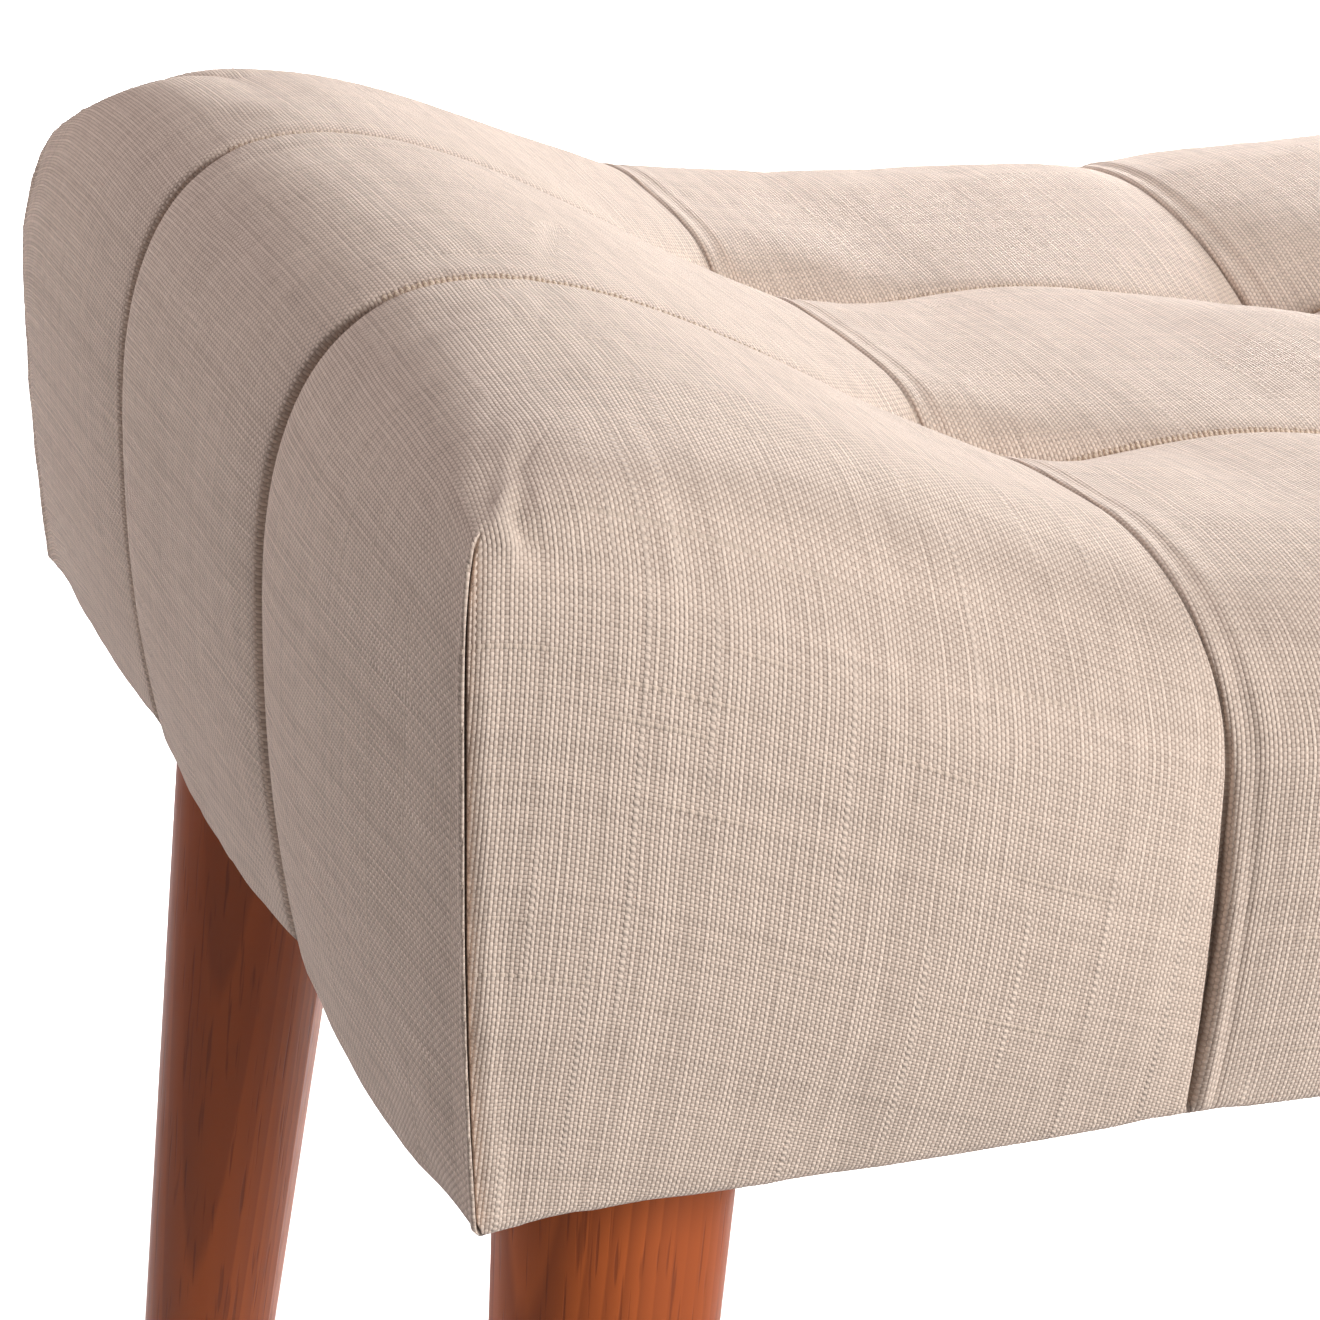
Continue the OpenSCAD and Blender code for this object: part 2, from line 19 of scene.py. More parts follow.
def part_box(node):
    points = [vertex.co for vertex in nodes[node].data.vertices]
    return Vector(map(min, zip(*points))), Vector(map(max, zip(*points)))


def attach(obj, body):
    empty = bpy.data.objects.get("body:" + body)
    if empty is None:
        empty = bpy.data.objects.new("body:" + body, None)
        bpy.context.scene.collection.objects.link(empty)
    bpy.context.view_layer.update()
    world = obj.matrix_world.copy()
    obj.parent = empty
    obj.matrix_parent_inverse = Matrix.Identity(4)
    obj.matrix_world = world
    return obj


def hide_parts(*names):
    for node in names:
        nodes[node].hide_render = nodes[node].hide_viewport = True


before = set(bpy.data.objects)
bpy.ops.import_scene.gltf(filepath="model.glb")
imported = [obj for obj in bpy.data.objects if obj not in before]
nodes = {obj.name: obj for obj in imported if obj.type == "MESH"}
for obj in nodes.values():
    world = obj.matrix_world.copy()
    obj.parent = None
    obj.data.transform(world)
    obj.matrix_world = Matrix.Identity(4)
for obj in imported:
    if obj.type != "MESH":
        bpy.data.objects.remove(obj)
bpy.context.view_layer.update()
MM = 0.001
print("nodes in the frame:", len(nodes))


def put_in_scene(name, data):
    placed = bpy.data.objects.new(name, data)
    bpy.context.scene.collection.objects.link(placed)
    return placed


def finish_mesh(bm, mesh):
    """Writes a closed form to a mesh, its faces turned outwards."""
    bmesh.ops.recalc_face_normals(bm, faces=bm.faces)
    bm.to_mesh(mesh)
    bm.free()


# %% [markdown]
# The seat's outer form follows the same rule as the solid: a crest line that
# falls from the end rolls to the middle, pillows that dip to the seams between
# them, and a rounded shoulder that runs down into full sides. The plan sizes
# come from the rails, which stand a fixed distance inside the corner seams.

# %% Sizes of the seat, in millimetres
frame_in = 10.0
hem_t = 1.5
rail_low, rail_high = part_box("rail_front")
seat_l = (rail_high.x - rail_low.x) / MM + 2 * frame_in
seat_w = (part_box("rail_back")[1].y - rail_low.y) / MM + 2 * frame_in
seat_lift = rail_low.z / MM - hem_t
cols, rows = 4, 3
half_l, half_w = seat_l / 2, seat_w / 2
col_w, row_w = seat_l / cols, seat_w / rows

mid_h, roll_rise, even_rise, even_power = 103.5, 49.0, 14.0, 1.5
roll_in, roll_spread, roll_flat = 42.0, 80.0, 100.0
tuft_mid_h, tuft_end_h = 80.0, 83.0
groove_mid, groove_roll = 3.0, 1.0
pleat_mid, pleat_end = 3.0, 1.5
row_drop, back_fall = 5.8, 4.0
bulge_front, bulge_end, pull_front, pull_end = 13.0, 10.0, 6.0, 3.0
full_h, shoulder_w = 75.0, 53.0
back_tip_drop = 6.5
side_square, end_square, front_tip_square, back_tip_square = 2.2, 2.6, 6.0, 2.5
groove_power, pleat_power = 2.2, 5.0
tuft_power_roll, tuft_power_mid = 8.0, 1.8
tuft_across_mid, tuft_across_end = 2.25, 6.0
print(f"seat {seat_l:.0f} by {seat_w:.0f} mm, its edge {seat_lift:.1f} mm up")

# %% [markdown]
# A place on the top is given in pillow coordinates: the whole part says which
# pillow, the rest how far across it. Two helper shares turn that into form:
# how near the point is to a seam, and how near it is to the seat's rim.

# %% Pillow coordinates
def hill(x, centre, width):
    """A soft hill, 1 at its centre; at its width it is down to a third."""
    return np.exp(-(((x - centre) / width) ** 2))


def eased(share):
    """A share from 0 to 1 with a soft start and a soft end."""
    return share**2 * (3 - 2 * share)


def pillow_share(at, count):
    """The pillow that a coordinate lies in, and the share of the way across it."""
    at = np.asarray(at, float)
    cell = np.clip(np.floor(at), 0, count - 1)
    return cell, at - cell


def nearness(at, count):
    """1 on a seam, 0 on a crest, and 0 at the seat's rim."""
    cell, share = pillow_share(at, count)
    inner = np.abs(2 * share - 1)
    return np.where(cell == 0, share, np.where(cell == count - 1, 1 - share, inner))


def rim_share(at, count):
    """1 on the rim, 0 from the first seam inwards."""
    cell, share = pillow_share(at, count)
    return np.where(cell == 0, 1 - share, np.where(cell == count - 1, share, 0.0))


def line_at(at, count, pitch, half, inset):
    """The place in millimetres of a coordinate, on a ring that lies inset by that much."""
    cell, share = pillow_share(at, count)
    low = -(half - inset) + share * (pitch - inset)
    high = half - pitch + share * (pitch - inset)
    return np.where(cell == 0, low, np.where(cell == count - 1, high, -half + at * pitch))


# %% The crown of the seat
def roll_share(x):
    return hill(half_l - np.abs(x), roll_in, roll_spread)


def crest_z(x):
    even = even_rise * (np.abs(x) / half_l) ** even_power
    return seat_lift + mid_h + even + (roll_rise - even_rise) * roll_share(x)


def groove_depth(x):
    over_roll = np.exp(-((np.maximum(half_l - np.abs(x) - roll_in, 0) / roll_flat) ** 4))
    return groove_mid + (groove_roll - groove_mid) * over_roll


def mid_share(x):
    return np.maximum(1 - np.abs(x) / col_w, 0)


def pleat_depth(x):
    return pleat_end + (pleat_mid - pleat_end) * mid_share(x)


def tuft_extra(x):
    seam = np.minimum(np.abs(x), col_w)
    tuft_z = seat_lift + tuft_end_h + (tuft_mid_h - tuft_end_h) * mid_share(seam)
    return crest_z(seam) - tuft_z - groove_depth(seam) - pleat_depth(seam)


def top_z(a, b):
    """Height of the crown at the pillow coordinates a along the seat and b across it."""
    x = line_at(a, cols, col_w, half_l, roll_in)
    y = line_at(b, rows, row_w, half_w, shoulder_w)
    near_x, near_y = nearness(a, cols), nearness(b, rows)
    reach = y / (half_w - shoulder_w)
    dish = row_drop * (1 - reach**2) + back_fall * np.maximum(reach, 0)
    dish = dish * (1 - roll_share(x)) ** 2
    cell = pillow_share(a, cols)[0]
    tuft_power = np.where((cell == 0) | (cell == cols - 1), tuft_power_roll, tuft_power_mid)
    tip = np.where(np.asarray(b) > rows / 2, rim_share(a, cols) ** 2.5 * rim_share(b, rows) ** 2, 0)
    from_middle = np.minimum(np.abs(x) / col_w, 1)
    tuft_across = tuft_across_mid + (tuft_across_end - tuft_across_mid) * from_middle
    return (
        crest_z(x)
        - dish
        - groove_depth(x) * near_y**groove_power
        - pleat_depth(x) * near_x**pleat_power
        - tuft_extra(x) * near_x**tuft_power * near_y**tuft_across
        - back_tip_drop * tip
    )


# %% The shoulder and the sides
corner_out, edge_roll, low_out_power = 3.5, 3.0, 2.2
corner_sag, edge_power, tip_power = 3.0, 5, 12
edge_sag_end, edge_sag_front, edge_out, edge_calm = 6.0, 1.5, 2.5, 0.33
ease_most, ease_turn = 1.6, 45.0


def swell(near, rim, bulge, pull):
    """How far a side stands out at its fullest height."""
    return bulge * (1 - rim**3) + corner_out * rim**3 - pull * near**6 * (1 - rim)


def pillow_hump(at, count):
    """1 in the middle of each pillow, 0 on its seams."""
    share = pillow_share(at, count)[1]
    return 4 * share * (1 - share)


def section(ring, square, width, out, low_out=0.0):
    """Inset and height share of a ring: a turn in degrees down to 90, then a share of full_h."""
    kind, value = ring
    if kind == "turn":
        turn = math.radians(value)
        inset = -out + (width + out) * (1 - np.sin(turn) ** (2 / square))
        return inset, np.where(value == 90, 0.0, max(math.cos(turn), 0) ** (2 / square))
    roll = max(1 - value * full_h / edge_roll, 0)
    inset = -out + (out - low_out) * (1 - value) ** low_out_power
    return inset + edge_roll * (1 - math.sqrt(1 - roll**2)), value


def side_height(crown, up, ring, sag):
    if ring[0] == "turn":
        return seat_lift + full_h + (crown - seat_lift - full_h) * up
    return seat_lift + full_h * up + 0 * crown - sag * (1 - up) ** edge_power


def long_side(a, ring, front):
    """Points of one ring along the front or the back."""
    b = 0.0 if front else float(rows)
    rim, near, hump = rim_share(a, cols), nearness(a, cols), pillow_hump(a, cols)
    tip_square = front_tip_square if front else back_tip_square
    square = side_square + (tip_square - side_square) * rim**2
    inset, up = section(ring, square, shoulder_w, swell(near, rim, bulge_front, pull_front))
    corner_in = section(ring, tip_square, roll_in, corner_out)[0]
    ease = ease_most * max(1 - ring[1] / ease_turn, 0) if ring[0] == "turn" else 0.0
    outward = np.clip(np.maximum(1 - np.asarray(a), a - (cols - 1)), 0, 1) ** (1 + ease)
    stretch = np.where(a < cols / 2, -1, 1) * (roll_in - corner_in) * outward
    x = line_at(a, cols, col_w, half_l, roll_in) + stretch
    y = (half_w - inset) * (-1 if front else 1)
    sag = edge_sag_front * hump + corner_sag * rim**tip_power
    return x, y, side_height(top_z(a, b), up, ring, sag)


def short_side(b, ring, left):
    """Points of one ring along the left or the right end."""
    a = 0.0 if left else float(cols)
    rim, near, hump = rim_share(b, rows), nearness(b, rows), pillow_hump(b, rows)
    edge_share = 1 - edge_calm * pillow_share(b, rows)[0]
    tip_square = np.where(np.asarray(b) > rows / 2, back_tip_square, front_tip_square)
    square = end_square + (tip_square - end_square) * rim**2
    out = swell(near, rim, bulge_end, pull_end)
    inset, up = section(ring, square, roll_in, out, edge_out * hump * edge_share)
    corner_in = section(ring, tip_square, shoulder_w, corner_out)[0]
    y = line_at(b, rows, row_w, half_w, corner_in)
    x = (half_l - inset) * (-1 if left else 1)
    sag = edge_sag_end * hump * edge_share + corner_sag * rim**tip_power
    return x, y, side_height(top_z(a, b), up, ring, sag)


# %% [markdown]
# The cloth is a grid. Its lines crowd together beside each seam, where a fold
# needs them, and lie 5 mm apart on the open pillow. Rings carry the grid over
# the shoulder, down the sides, round the lower edge and under the frame.

# %% Lines and rings of the grid
pleat_after = [0, 0.25, 0.45, 0.9, 1.5, 2.3, 2.8, 3.1, 3.5]
pleat_after += [4.4, 5.4, 5.9, 6.6, 7.2, 8.0, 10.5, 14.5, 20]
pleat_before = [20.5, 15.5, 11.0, 7.5, 5.0, 3.2, 2.0, 1.2, 0.6, 0.25]
groove_after = [0.0, 0.4, 0.8, 1.3, 2.0, 3.0, 4.6, 7.0, 10.5, 15.0, 20.0]
groove_before = [20.0, 15.0, 10.5, 7.0, 4.6, 3.0, 2.0, 1.3, 0.8, 0.4]
rim_after = [0.0, 0.15, 0.3, 0.4, 0.5, 0.95, 1.1, 1.3, 2.0, 2.8, 4.2, 5.2, 6.5, 7.8, 9.5, 13.5, 18.0]
open_step = 5.0


def grid_lines(count, pitch, after, before):
    """Pillow coordinates of the grid's lines, from one rim to the other."""
    lines = []
    for cell in range(count):
        start = rim_after if cell == 0 else after
        end = list(reversed(rim_after))[:-1] if cell == count - 1 else before
        low, high = start[-1], pitch - end[0]
        fill = np.linspace(low, high, max(int((high - low) / open_step), 1) + 1)[1:-1]
        places = list(start) + list(fill) + [pitch - e for e in end]
        lines += [cell + p / pitch for p in places]
    return np.array(lines + [float(count)])


col_lines = grid_lines(cols, col_w, pleat_after, pleat_before)
row_lines = grid_lines(rows, row_w, groove_after, groove_before)
turn_rings, down_rings, lowest_share = 24, 14, 0.08
rings = [("turn", t) for t in np.linspace(0, 90, turn_rings + 1)[1:]]
rings += [("down", s) for s in np.linspace(1, lowest_share, down_rings + 1)[1:]]
rings += [("down", s) for s in (0.055, 0.035, 0.018, 0.006, 0.0)]
print("grid", len(col_lines), "by", len(row_lines), "lines and", len(rings), "rings")

# %% Points of the grid
nx, ny = len(col_lines) - 1, len(row_lines) - 1
around = 2 * (nx + ny)
corner_points = np.array([0, nx, nx + ny, 2 * nx + ny])
top_a, top_b = np.meshgrid(col_lines, row_lines, indexing="ij")
top_points = np.stack(
    [
        line_at(top_a, cols, col_w, half_l, roll_in),
        line_at(top_b, rows, row_w, half_w, shoulder_w),
        top_z(top_a, top_b),
    ],
    axis=-1,
)
nose_turn = 50.0
corner_round, round_power, ease_power = 26.0, 0.8, 2.4


def round_corners(points, ring):
    """Above the sewn corner the cloth goes round it, so each ring's corners are rounded."""
    kind, turn = ring
    if kind != "turn" or turn >= nose_turn:
        return points
    radius = corner_round * math.sin(math.pi * turn / nose_turn) ** round_power
    rounded = points.copy()
    for number in corner_points:
        corner = points[number]
        gap = np.abs(points[:, :2] - corner[:2]).max(axis=1)
        inward = (math.sqrt(2) - 1) * radius * np.clip(1 - gap / radius, 0, 1) ** ease_power
        rounded[:, :2] -= np.sign(corner[:2]) * (inward / math.sqrt(2))[:, None]
    return rounded


def ring_points(ring):
    """One ring of points, walked front, right, back, left."""
    sides = [
        long_side(col_lines, ring, True),
        short_side(row_lines, ring, False),
        long_side(col_lines, ring, False),
        short_side(row_lines, ring, True),
    ]
    front, right, back, left = (np.stack(np.broadcast_arrays(*side), -1) for side in sides)
    walk = np.concatenate([front[:-1], right[:-1], back[:0:-1], left[:0:-1]])
    return round_corners(walk, ring)


still_i, still_j = np.zeros(ny, int), np.zeros(nx, int)
walk_i = np.concatenate([np.arange(nx), still_i + nx, np.arange(nx, 0, -1), still_i])
walk_j = np.concatenate([still_j, np.arange(ny), still_j + ny, np.arange(ny, 0, -1)])
ring_zero = top_points[walk_i, walk_j]
side_points = np.stack([ring_points(r) for r in rings])

# %% The hem that turns under the frame
hem_w = 24.0
hem_insets = [10.0, 16.0, hem_w]


def frame_ring(inset_x, inset_y, z, like):
    """A ring on a rectangle, each point straight inwards from the ring it follows."""
    ring = like.copy()
    ring[:, 0] = np.clip(ring[:, 0], -(half_l - inset_x), half_l - inset_x)
    ring[:, 1] = np.clip(ring[:, 1], -(half_w - inset_y), half_w - inset_y)
    on_long = (walk_j == 0) | (walk_j == ny)
    on_short = (walk_i == 0) | (walk_i == nx)
    ring[on_long, 1] = np.sign(like[on_long, 1]) * (half_w - inset_y)
    ring[on_short, 0] = np.sign(like[on_short, 0]) * (half_l - inset_x)
    ring[:, 2] = z
    return ring


hem_points = np.stack([frame_ring(i, i, seat_lift, side_points[-1]) for i in hem_insets])
outer = np.concatenate([part.reshape(-1, 3) for part in (top_points, side_points, hem_points)])
ring_count = len(rings) + len(hem_insets)
print("outer points", len(outer))

# %% Faces of the grid
def top_id(i, j):
    return i * (ny + 1) + j


def ring_id(k, q):
    """Number of the point q of ring k; ring 0 is the rim of the top."""
    q = np.asarray(q) % around
    first = (nx + 1) * (ny + 1) + (k - 1) * around + q
    return np.where(k == 0, top_id(walk_i[q], walk_j[q]), first)


def cell_faces(number, i, j):
    """The numbers of the four points round each cell of a grid."""
    cell = [number(i, j), number(i + 1, j), number(i + 1, j + 1), number(i, j + 1)]
    return np.stack(cell, -1).reshape(-1, 4)


ii, jj = np.meshgrid(np.arange(nx), np.arange(ny), indexing="ij")
top_faces = cell_faces(top_id, ii, jj)
kk, qq = np.meshgrid(np.arange(ring_count), np.arange(around), indexing="ij")
side_faces = cell_faces(ring_id, kk, qq)
print("faces", len(top_faces) + len(side_faces))

# %% [markdown]
# The weave follows the cloth, so each corner of each face gets its place in
# the flat cloth, in decimetres. The top is laid flat as it is. The sides hang
# on from it: on the front and the back the cloth runs on in Y by the length
# that it goes down, at the ends in X. The corner seams are where it was cut.

# %% Place of each point in the flat cloth
DM = 0.01
corner_blend = 28.0
front_lean, front_lean_step, front_skew = 0.08, 0.04, 0.075
lean_step_y, lean_step_x, skew, skew_step = 0.02, 0.01, 0.02, 0.03
fan_mm, fan_reach = 3.2, 25.0
all_rings = np.concatenate([ring_zero[None], side_points, hem_points])


def run_down(axis):
    """Length of cloth from the rim down to each ring, seen along X or Y."""
    step = np.linalg.norm(np.diff(all_rings, axis=0)[..., [axis, 2]], axis=-1)
    return np.concatenate([np.zeros((1, around)), np.cumsum(step, axis=0)])


down_x, down_y = run_down(0), run_down(1)


def side_place(k, q, side):
    """Place in the flat cloth of point q on ring k, if its cloth belongs to that side."""
    p = all_rings[k, q]
    if side in (0, 2):
        sign = -1 if side == 0 else 1
        return np.stack([p[..., 0], sign * ((half_w - shoulder_w) + down_y[k, q])], -1)
    sign = 1 if side == 1 else -1
    return np.stack([sign * ((half_l - roll_in) + down_x[k, q]), p[..., 1]], -1)


nose_count = 1 + sum(1 for kind, value in rings if kind == "turn" and value < nose_turn)


def cloth_place(k, q, side):
    """As side_place, but drawn at each corner to the mean of the two sides that meet there."""
    q = q % around
    place = side_place(k, q, side)
    for number, corner in enumerate(corner_points):
        pair = (number, (number - 1) % 4)
        if side not in pair:
            continue
        other = pair[1] if side == pair[0] else pair[0]
        high = np.minimum(k, nose_count)
        away = np.linalg.norm(all_rings[k, q] - all_rings[k, corner], axis=-1)
        halfway = (side_place(high, corner, other) - side_place(high, corner, side)) / 2
        place = place + halfway * np.exp(-away / corner_blend)[..., None]
    return place


def pull_grain(place, cell_x, cell_y):
    """Threads don't lie quite true: each pillow's cloth was pulled a little askew."""
    u, v = place[..., 0], place[..., 1]
    front_row = cell_y == 0
    back_lean = lean_step_y * (cell_y - 1) + lean_step_x * cell_x
    lean = np.where(front_row, front_lean - front_lean_step * cell_x, back_lean)
    askew = np.where(front_row, front_skew, skew - skew_step * cell_y)
    fanned = fan_mm * np.exp(-np.maximum(half_l - np.abs(u), 0) / fan_reach)
    fan = np.where(front_row & (cell_x == 0), fanned, 0)
    turned_u = u - lean * (v + half_w - shoulder_w)
    turned_v = v + askew * (u + half_l) - fan
    return np.stack([turned_u, turned_v], -1)


side_of = np.concatenate([np.full(nx, 0), np.full(ny, 1), np.full(nx, 2), np.full(ny, 3)])
face_x = pillow_share((col_lines[1:] + col_lines[:-1]) / 2, cols)[0].astype(int)
face_y = pillow_share((row_lines[1:] + row_lines[:-1]) / 2, rows)[0].astype(int)
side_x = np.concatenate([face_x, np.full(ny, cols - 1), face_x[::-1], np.full(ny, 0)])
side_y = np.concatenate([np.full(nx, 0), face_y, np.full(nx, rows - 1), face_y[::-1]])
top_uv = top_points[..., :2]
top_corners = [top_uv[ii, jj], top_uv[ii + 1, jj], top_uv[ii + 1, jj + 1], top_uv[ii, jj + 1]]
top_face_uv = np.stack([pull_grain(c, face_x[ii], face_y[jj]) for c in top_corners], -2)
side_face_uv = np.zeros((ring_count, around, 4, 2))
for side in range(4):
    mask = side_of == side
    k_s, q_s = kk[:, mask], qq[:, mask]
    for corner, (dk, dq) in enumerate(((0, 0), (1, 0), (1, 1), (0, 1))):
        place = cloth_place(k_s + dk, q_s + dq, side)
        side_face_uv[:, mask, corner] = pull_grain(place, side_x[q_s], side_y[q_s])
cloth_uv = np.concatenate([part.reshape(-1, 4, 2) for part in (top_face_uv, side_face_uv)]) * DM

# %% [markdown]
# The seams are cut into the smooth form afterwards, along its normals. Across
# the seat each seam is a tuck pleat: a sharp crease with the folded edge of
# the next pillow standing proud beside it, and the ridge of the seam allowance
# showing a few millimetres on. Along the seat the seams are narrow and sewn
# flat, with the small puckers that the stitches pull.

# %% Profiles of the seams, in millimetres
def bump(t, centre, half):
    """A round hump, 1 at its centre and 0 beyond its half width."""
    s = np.clip(1 - ((t - centre) / half) ** 2, 0, 1)
    return np.sqrt(s)


pleat_places = [-12, -3, -1, -0.25, 0, 0.25, 0.45, 0.9, 1.5, 2.3]
pleat_places += [3.1, 3.5, 4.4, 5.4, 5.9, 6.6, 7.2, 8, 10.5, 16]
pleat_heights = [0, -0.05, -0.12, -0.25, -0.6, -0.15, 0.12, 0.3, 0.38, 0.2]
pleat_heights += [-0.12, -0.22, -0.28, -0.18, 0, 0.14, 0.14, 0.06, 0, 0]
front_heights = [0, -0.25, -0.35, -0.6, -2.6, -3.1, -2.9, -1.5, -0.5, 0.15]
front_heights += [0.5, 0.55, 0.25, -0.25, -0.2, 0, 0.1, 0.1, 0.05, 0]


def pleat_profile(t, low):
    """Height across a tuck pleat, t right of its crease; low is 1 far down the front."""
    top, front = (np.interp(t, pleat_places, high) for high in (pleat_heights, front_heights))
    return top + (front - top) * low


groove_places = [-10.5, -4.6, -3, -2, -1.3, -0.8, -0.4, 0, 0.4, 0.8, 1.3, 2, 3, 4.6, 7, 10.5]
groove_heights = [0, -0.05, -0.12, -0.2, -0.35, -0.6, -1.2, -2.1]
groove_heights += [-1.9, -1.5, -1.05, -0.6, -0.35, -0.12, 0, 0]
end_heights = [0, -0.3, -0.45, -0.6, -0.85, -1.2, -2.4, -3.6]
end_heights += [-3.3, -2.7, -1.9, -0.8, -0.15, -0.15, -0.05, 0]


def groove_profile(t, end):
    """Height across a sewn groove; end is 1 down the ends, 0 on the top."""
    top, side = (np.interp(t, groove_places, high) for high in (groove_heights, end_heights))
    return top + (side - top) * end


corner_places = [0, 0.15, 0.3, 0.4, 0.5, 0.95, 1.1, 1.3, 2, 2.8, 4.2, 6.5]
corner_heights = [0.6, 0.7, 0.6, 0.3, -2.6, -2.6, -1, -0.9, -0.6, -0.2, 0.2, 0]
lip_h, lip_w = 0.6, 1.7
pull_turn = math.radians(20)
ridge_h, ridge_place, ridge_w = 1.3, 3.9, 1.5
dimple_h, dimple_place, dimple_w = 1.2, 7.4, 1.4
nose_peak, nose_above, nose_below, nose_rings = 0.5, 5.5, 6.0, 3.0
waver_w, waver_waves = 1.5, ((0.12, 0.9, 0.0), (0.09, 2.3, 1.0))
crease_gap, crease_half = 0.72, 0.3


def corner_profile(t, on_long):
    """Height beside a sewn corner, t away: on the long sides a crease between two lips."""
    lips = np.interp(t, corner_places, corner_heights)
    return np.where(on_long, lips, lip_h * bump(t, 0.0, lip_w))


# %% Distances from the seams
def to_seam(place, count, pitch, half):
    """Signed distance from the nearest inner seam."""
    seams = np.array([-half + pitch * c for c in range(1, count)])
    gap = place[:, None] - seams[None]
    return gap[np.arange(len(place)), np.abs(gap).argmin(axis=1)]


top_total = (nx + 1) * (ny + 1)
ring_side = np.where(walk_j == 0, 0, np.where(walk_i == nx, 1, np.where(walk_j == ny, 2, 3)))
point_side = np.concatenate([np.full(top_total, -1), np.tile(ring_side, ring_count)])
on_top = point_side < 0
along_pleat = on_top | (point_side == 0) | (point_side == 2)
along_groove = on_top | (point_side == 1) | (point_side == 3)
pleat_gap = to_seam(outer[:, 0], cols, col_w, half_l)
groove_gap = to_seam(outer[:, 1], rows, row_w, half_w)

# %% Normals of the smooth form
def point_normals(points, faces):
    a, b, c, d = (points[faces[:, n]] for n in range(4))
    face_n = np.cross(c - a, d - b)
    total = np.zeros_like(points)
    for n in range(4):
        np.add.at(total, faces[:, n], face_n)
    return total / np.maximum(np.linalg.norm(total, axis=1, keepdims=True), 1e-9)


outer_faces = np.concatenate([top_faces, side_faces])
normals = point_normals(outer, outer_faces)
seam_reach = 30
front_from, front_over, end_from, end_over = 92, 40, 26, 14
x, y, z = outer.T
low_front = np.clip((seat_lift + front_from - z) / front_over, 0, 1)
down_end = eased(np.clip((np.abs(x) - (half_l - end_from)) / end_over, 0, 1))
pleats = pleat_profile(pleat_gap, low_front) * (np.abs(pleat_gap) < seam_reach)
grooves = groove_profile(groove_gap, down_end) * (np.abs(groove_gap) < seam_reach)
depth = np.where(along_pleat, pleats, 0) + np.where(along_groove, grooves, 0)
ring_of = np.repeat(np.arange(ring_count + 1), [top_total] + [around] * ring_count)
low_rings = outer[top_total:].reshape(ring_count, around, 3)
to_corners = np.linalg.norm(low_rings[:, :, None] - low_rings[:, None, corner_points], axis=-1)
walk_gap = np.concatenate([np.zeros(top_total), to_corners.min(axis=-1).ravel()])
from_nose = [abs(value - nose_turn) if kind == "turn" else 99 for kind, value in rings]
nose_ring = int(np.argmin(from_nose)) + 1
has_corner = np.clip((ring_of - nose_ring) / nose_rings, 0, 1)
long_point = (point_side == 0) | (point_side == 2)
depth += np.where(ring_of > 0, corner_profile(walk_gap, long_point) * has_corner, 0)
corner_of = np.where(y < 0, np.where(x < 0, 0, 1), np.where(x > 0, 2, 3))
nose_off = outer[ring_id(nose_ring, corner_points)][corner_of] - outer
in_x, in_y = np.abs(nose_off[:, 0]), np.abs(nose_off[:, 1])
over_nose = -nose_off[:, 2]
beside = in_x * math.cos(pull_turn) - in_y * math.sin(pull_turn)
nose_share = hill(over_nose, nose_peak, np.where(over_nose > nose_peak, nose_above, nose_below))
pinch = ridge_h * hill(beside, ridge_place, ridge_w)
pinch -= dimple_h * hill(beside, dimple_place, dimple_w)
depth += nose_share * pinch
waver = sum(high * np.sin(per_mm * z + start) for high, per_mm, start in waver_waves)
depth += waver * has_corner * (ring_of > 0) * hill(walk_gap, 0, waver_w)

# Painted shade: the cloth's colour is darkened where shade falls, down in the seams, along the corner
# crease and in the dimple.
slit_shade = hill(pleat_gap, 0.1 + 0.45 * low_front, 0.22 + 0.3 * low_front)
sewn = 0.35 * (1 - down_end) * hill(groove_gap, 0.1, 0.3)
sewn += 0.5 * down_end * hill(groove_gap, 0.7, 0.9)
painted_shades = [
    np.where(along_pleat, slit_shade * (0.45 + 0.55 * low_front), 0),
    has_corner * long_point * (np.abs(walk_gap - crease_gap) < crease_half),
    np.where(along_groove, sewn, 0),
    0.25 * nose_share * hill(beside, dimple_place, 1.1),
]
crease = np.max(painted_shades, axis=0)
# Painted highlight: the taut ridge over the nose is made paler, towards the warp colour.
taut_highlight = nose_share * hill(beside, ridge_place, 1.6)
on_hem = ring_of > len(rings) - 3
outer = outer + normals * (depth * ~on_hem)[:, None]
print("deepest seam", round(float(depth.min()), 2), "mm")

# %% [markdown]
# Stretched cloth never lies as true as a formula. So a coarser copy of the
# cover is pinned along its seams and at its lower edge, cut a little too large,
# blown up gently and left to settle for twenty frames. The small ripples that
# this makes are laid onto the fine grid, along its normals.

# %% Let the cloth settle
settle_step, settle_ring_step, settle_frames = 8.0, 3, 20
cloth_settings = {
    "quality": 6,
    "mass": 0.3,
    "tension_stiffness": 25,
    "compression_stiffness": 25,
    "shear_stiffness": 8,
    "bending_stiffness": 0.4,
    "vertex_group_mass": "pins",
    "shrink_min": -0.012,
    "use_pressure": True,
    "uniform_pressure_force": 0.6,
}
ripple_limit, ripple_gain = 0.6, 0.3
broad_passes, calm_w = 12, 14.0


def thinned(lines, pitch):
    """Numbers of the lines that the coarser copy keeps: the seams, and one about every step."""
    kept = set()
    for cell in range(int(lines[-1])):
        for share in np.linspace(0, 1, int(pitch / settle_step) + 1):
            kept.add(int(np.abs(lines - cell - share).argmin()))
    return np.array(sorted(kept))


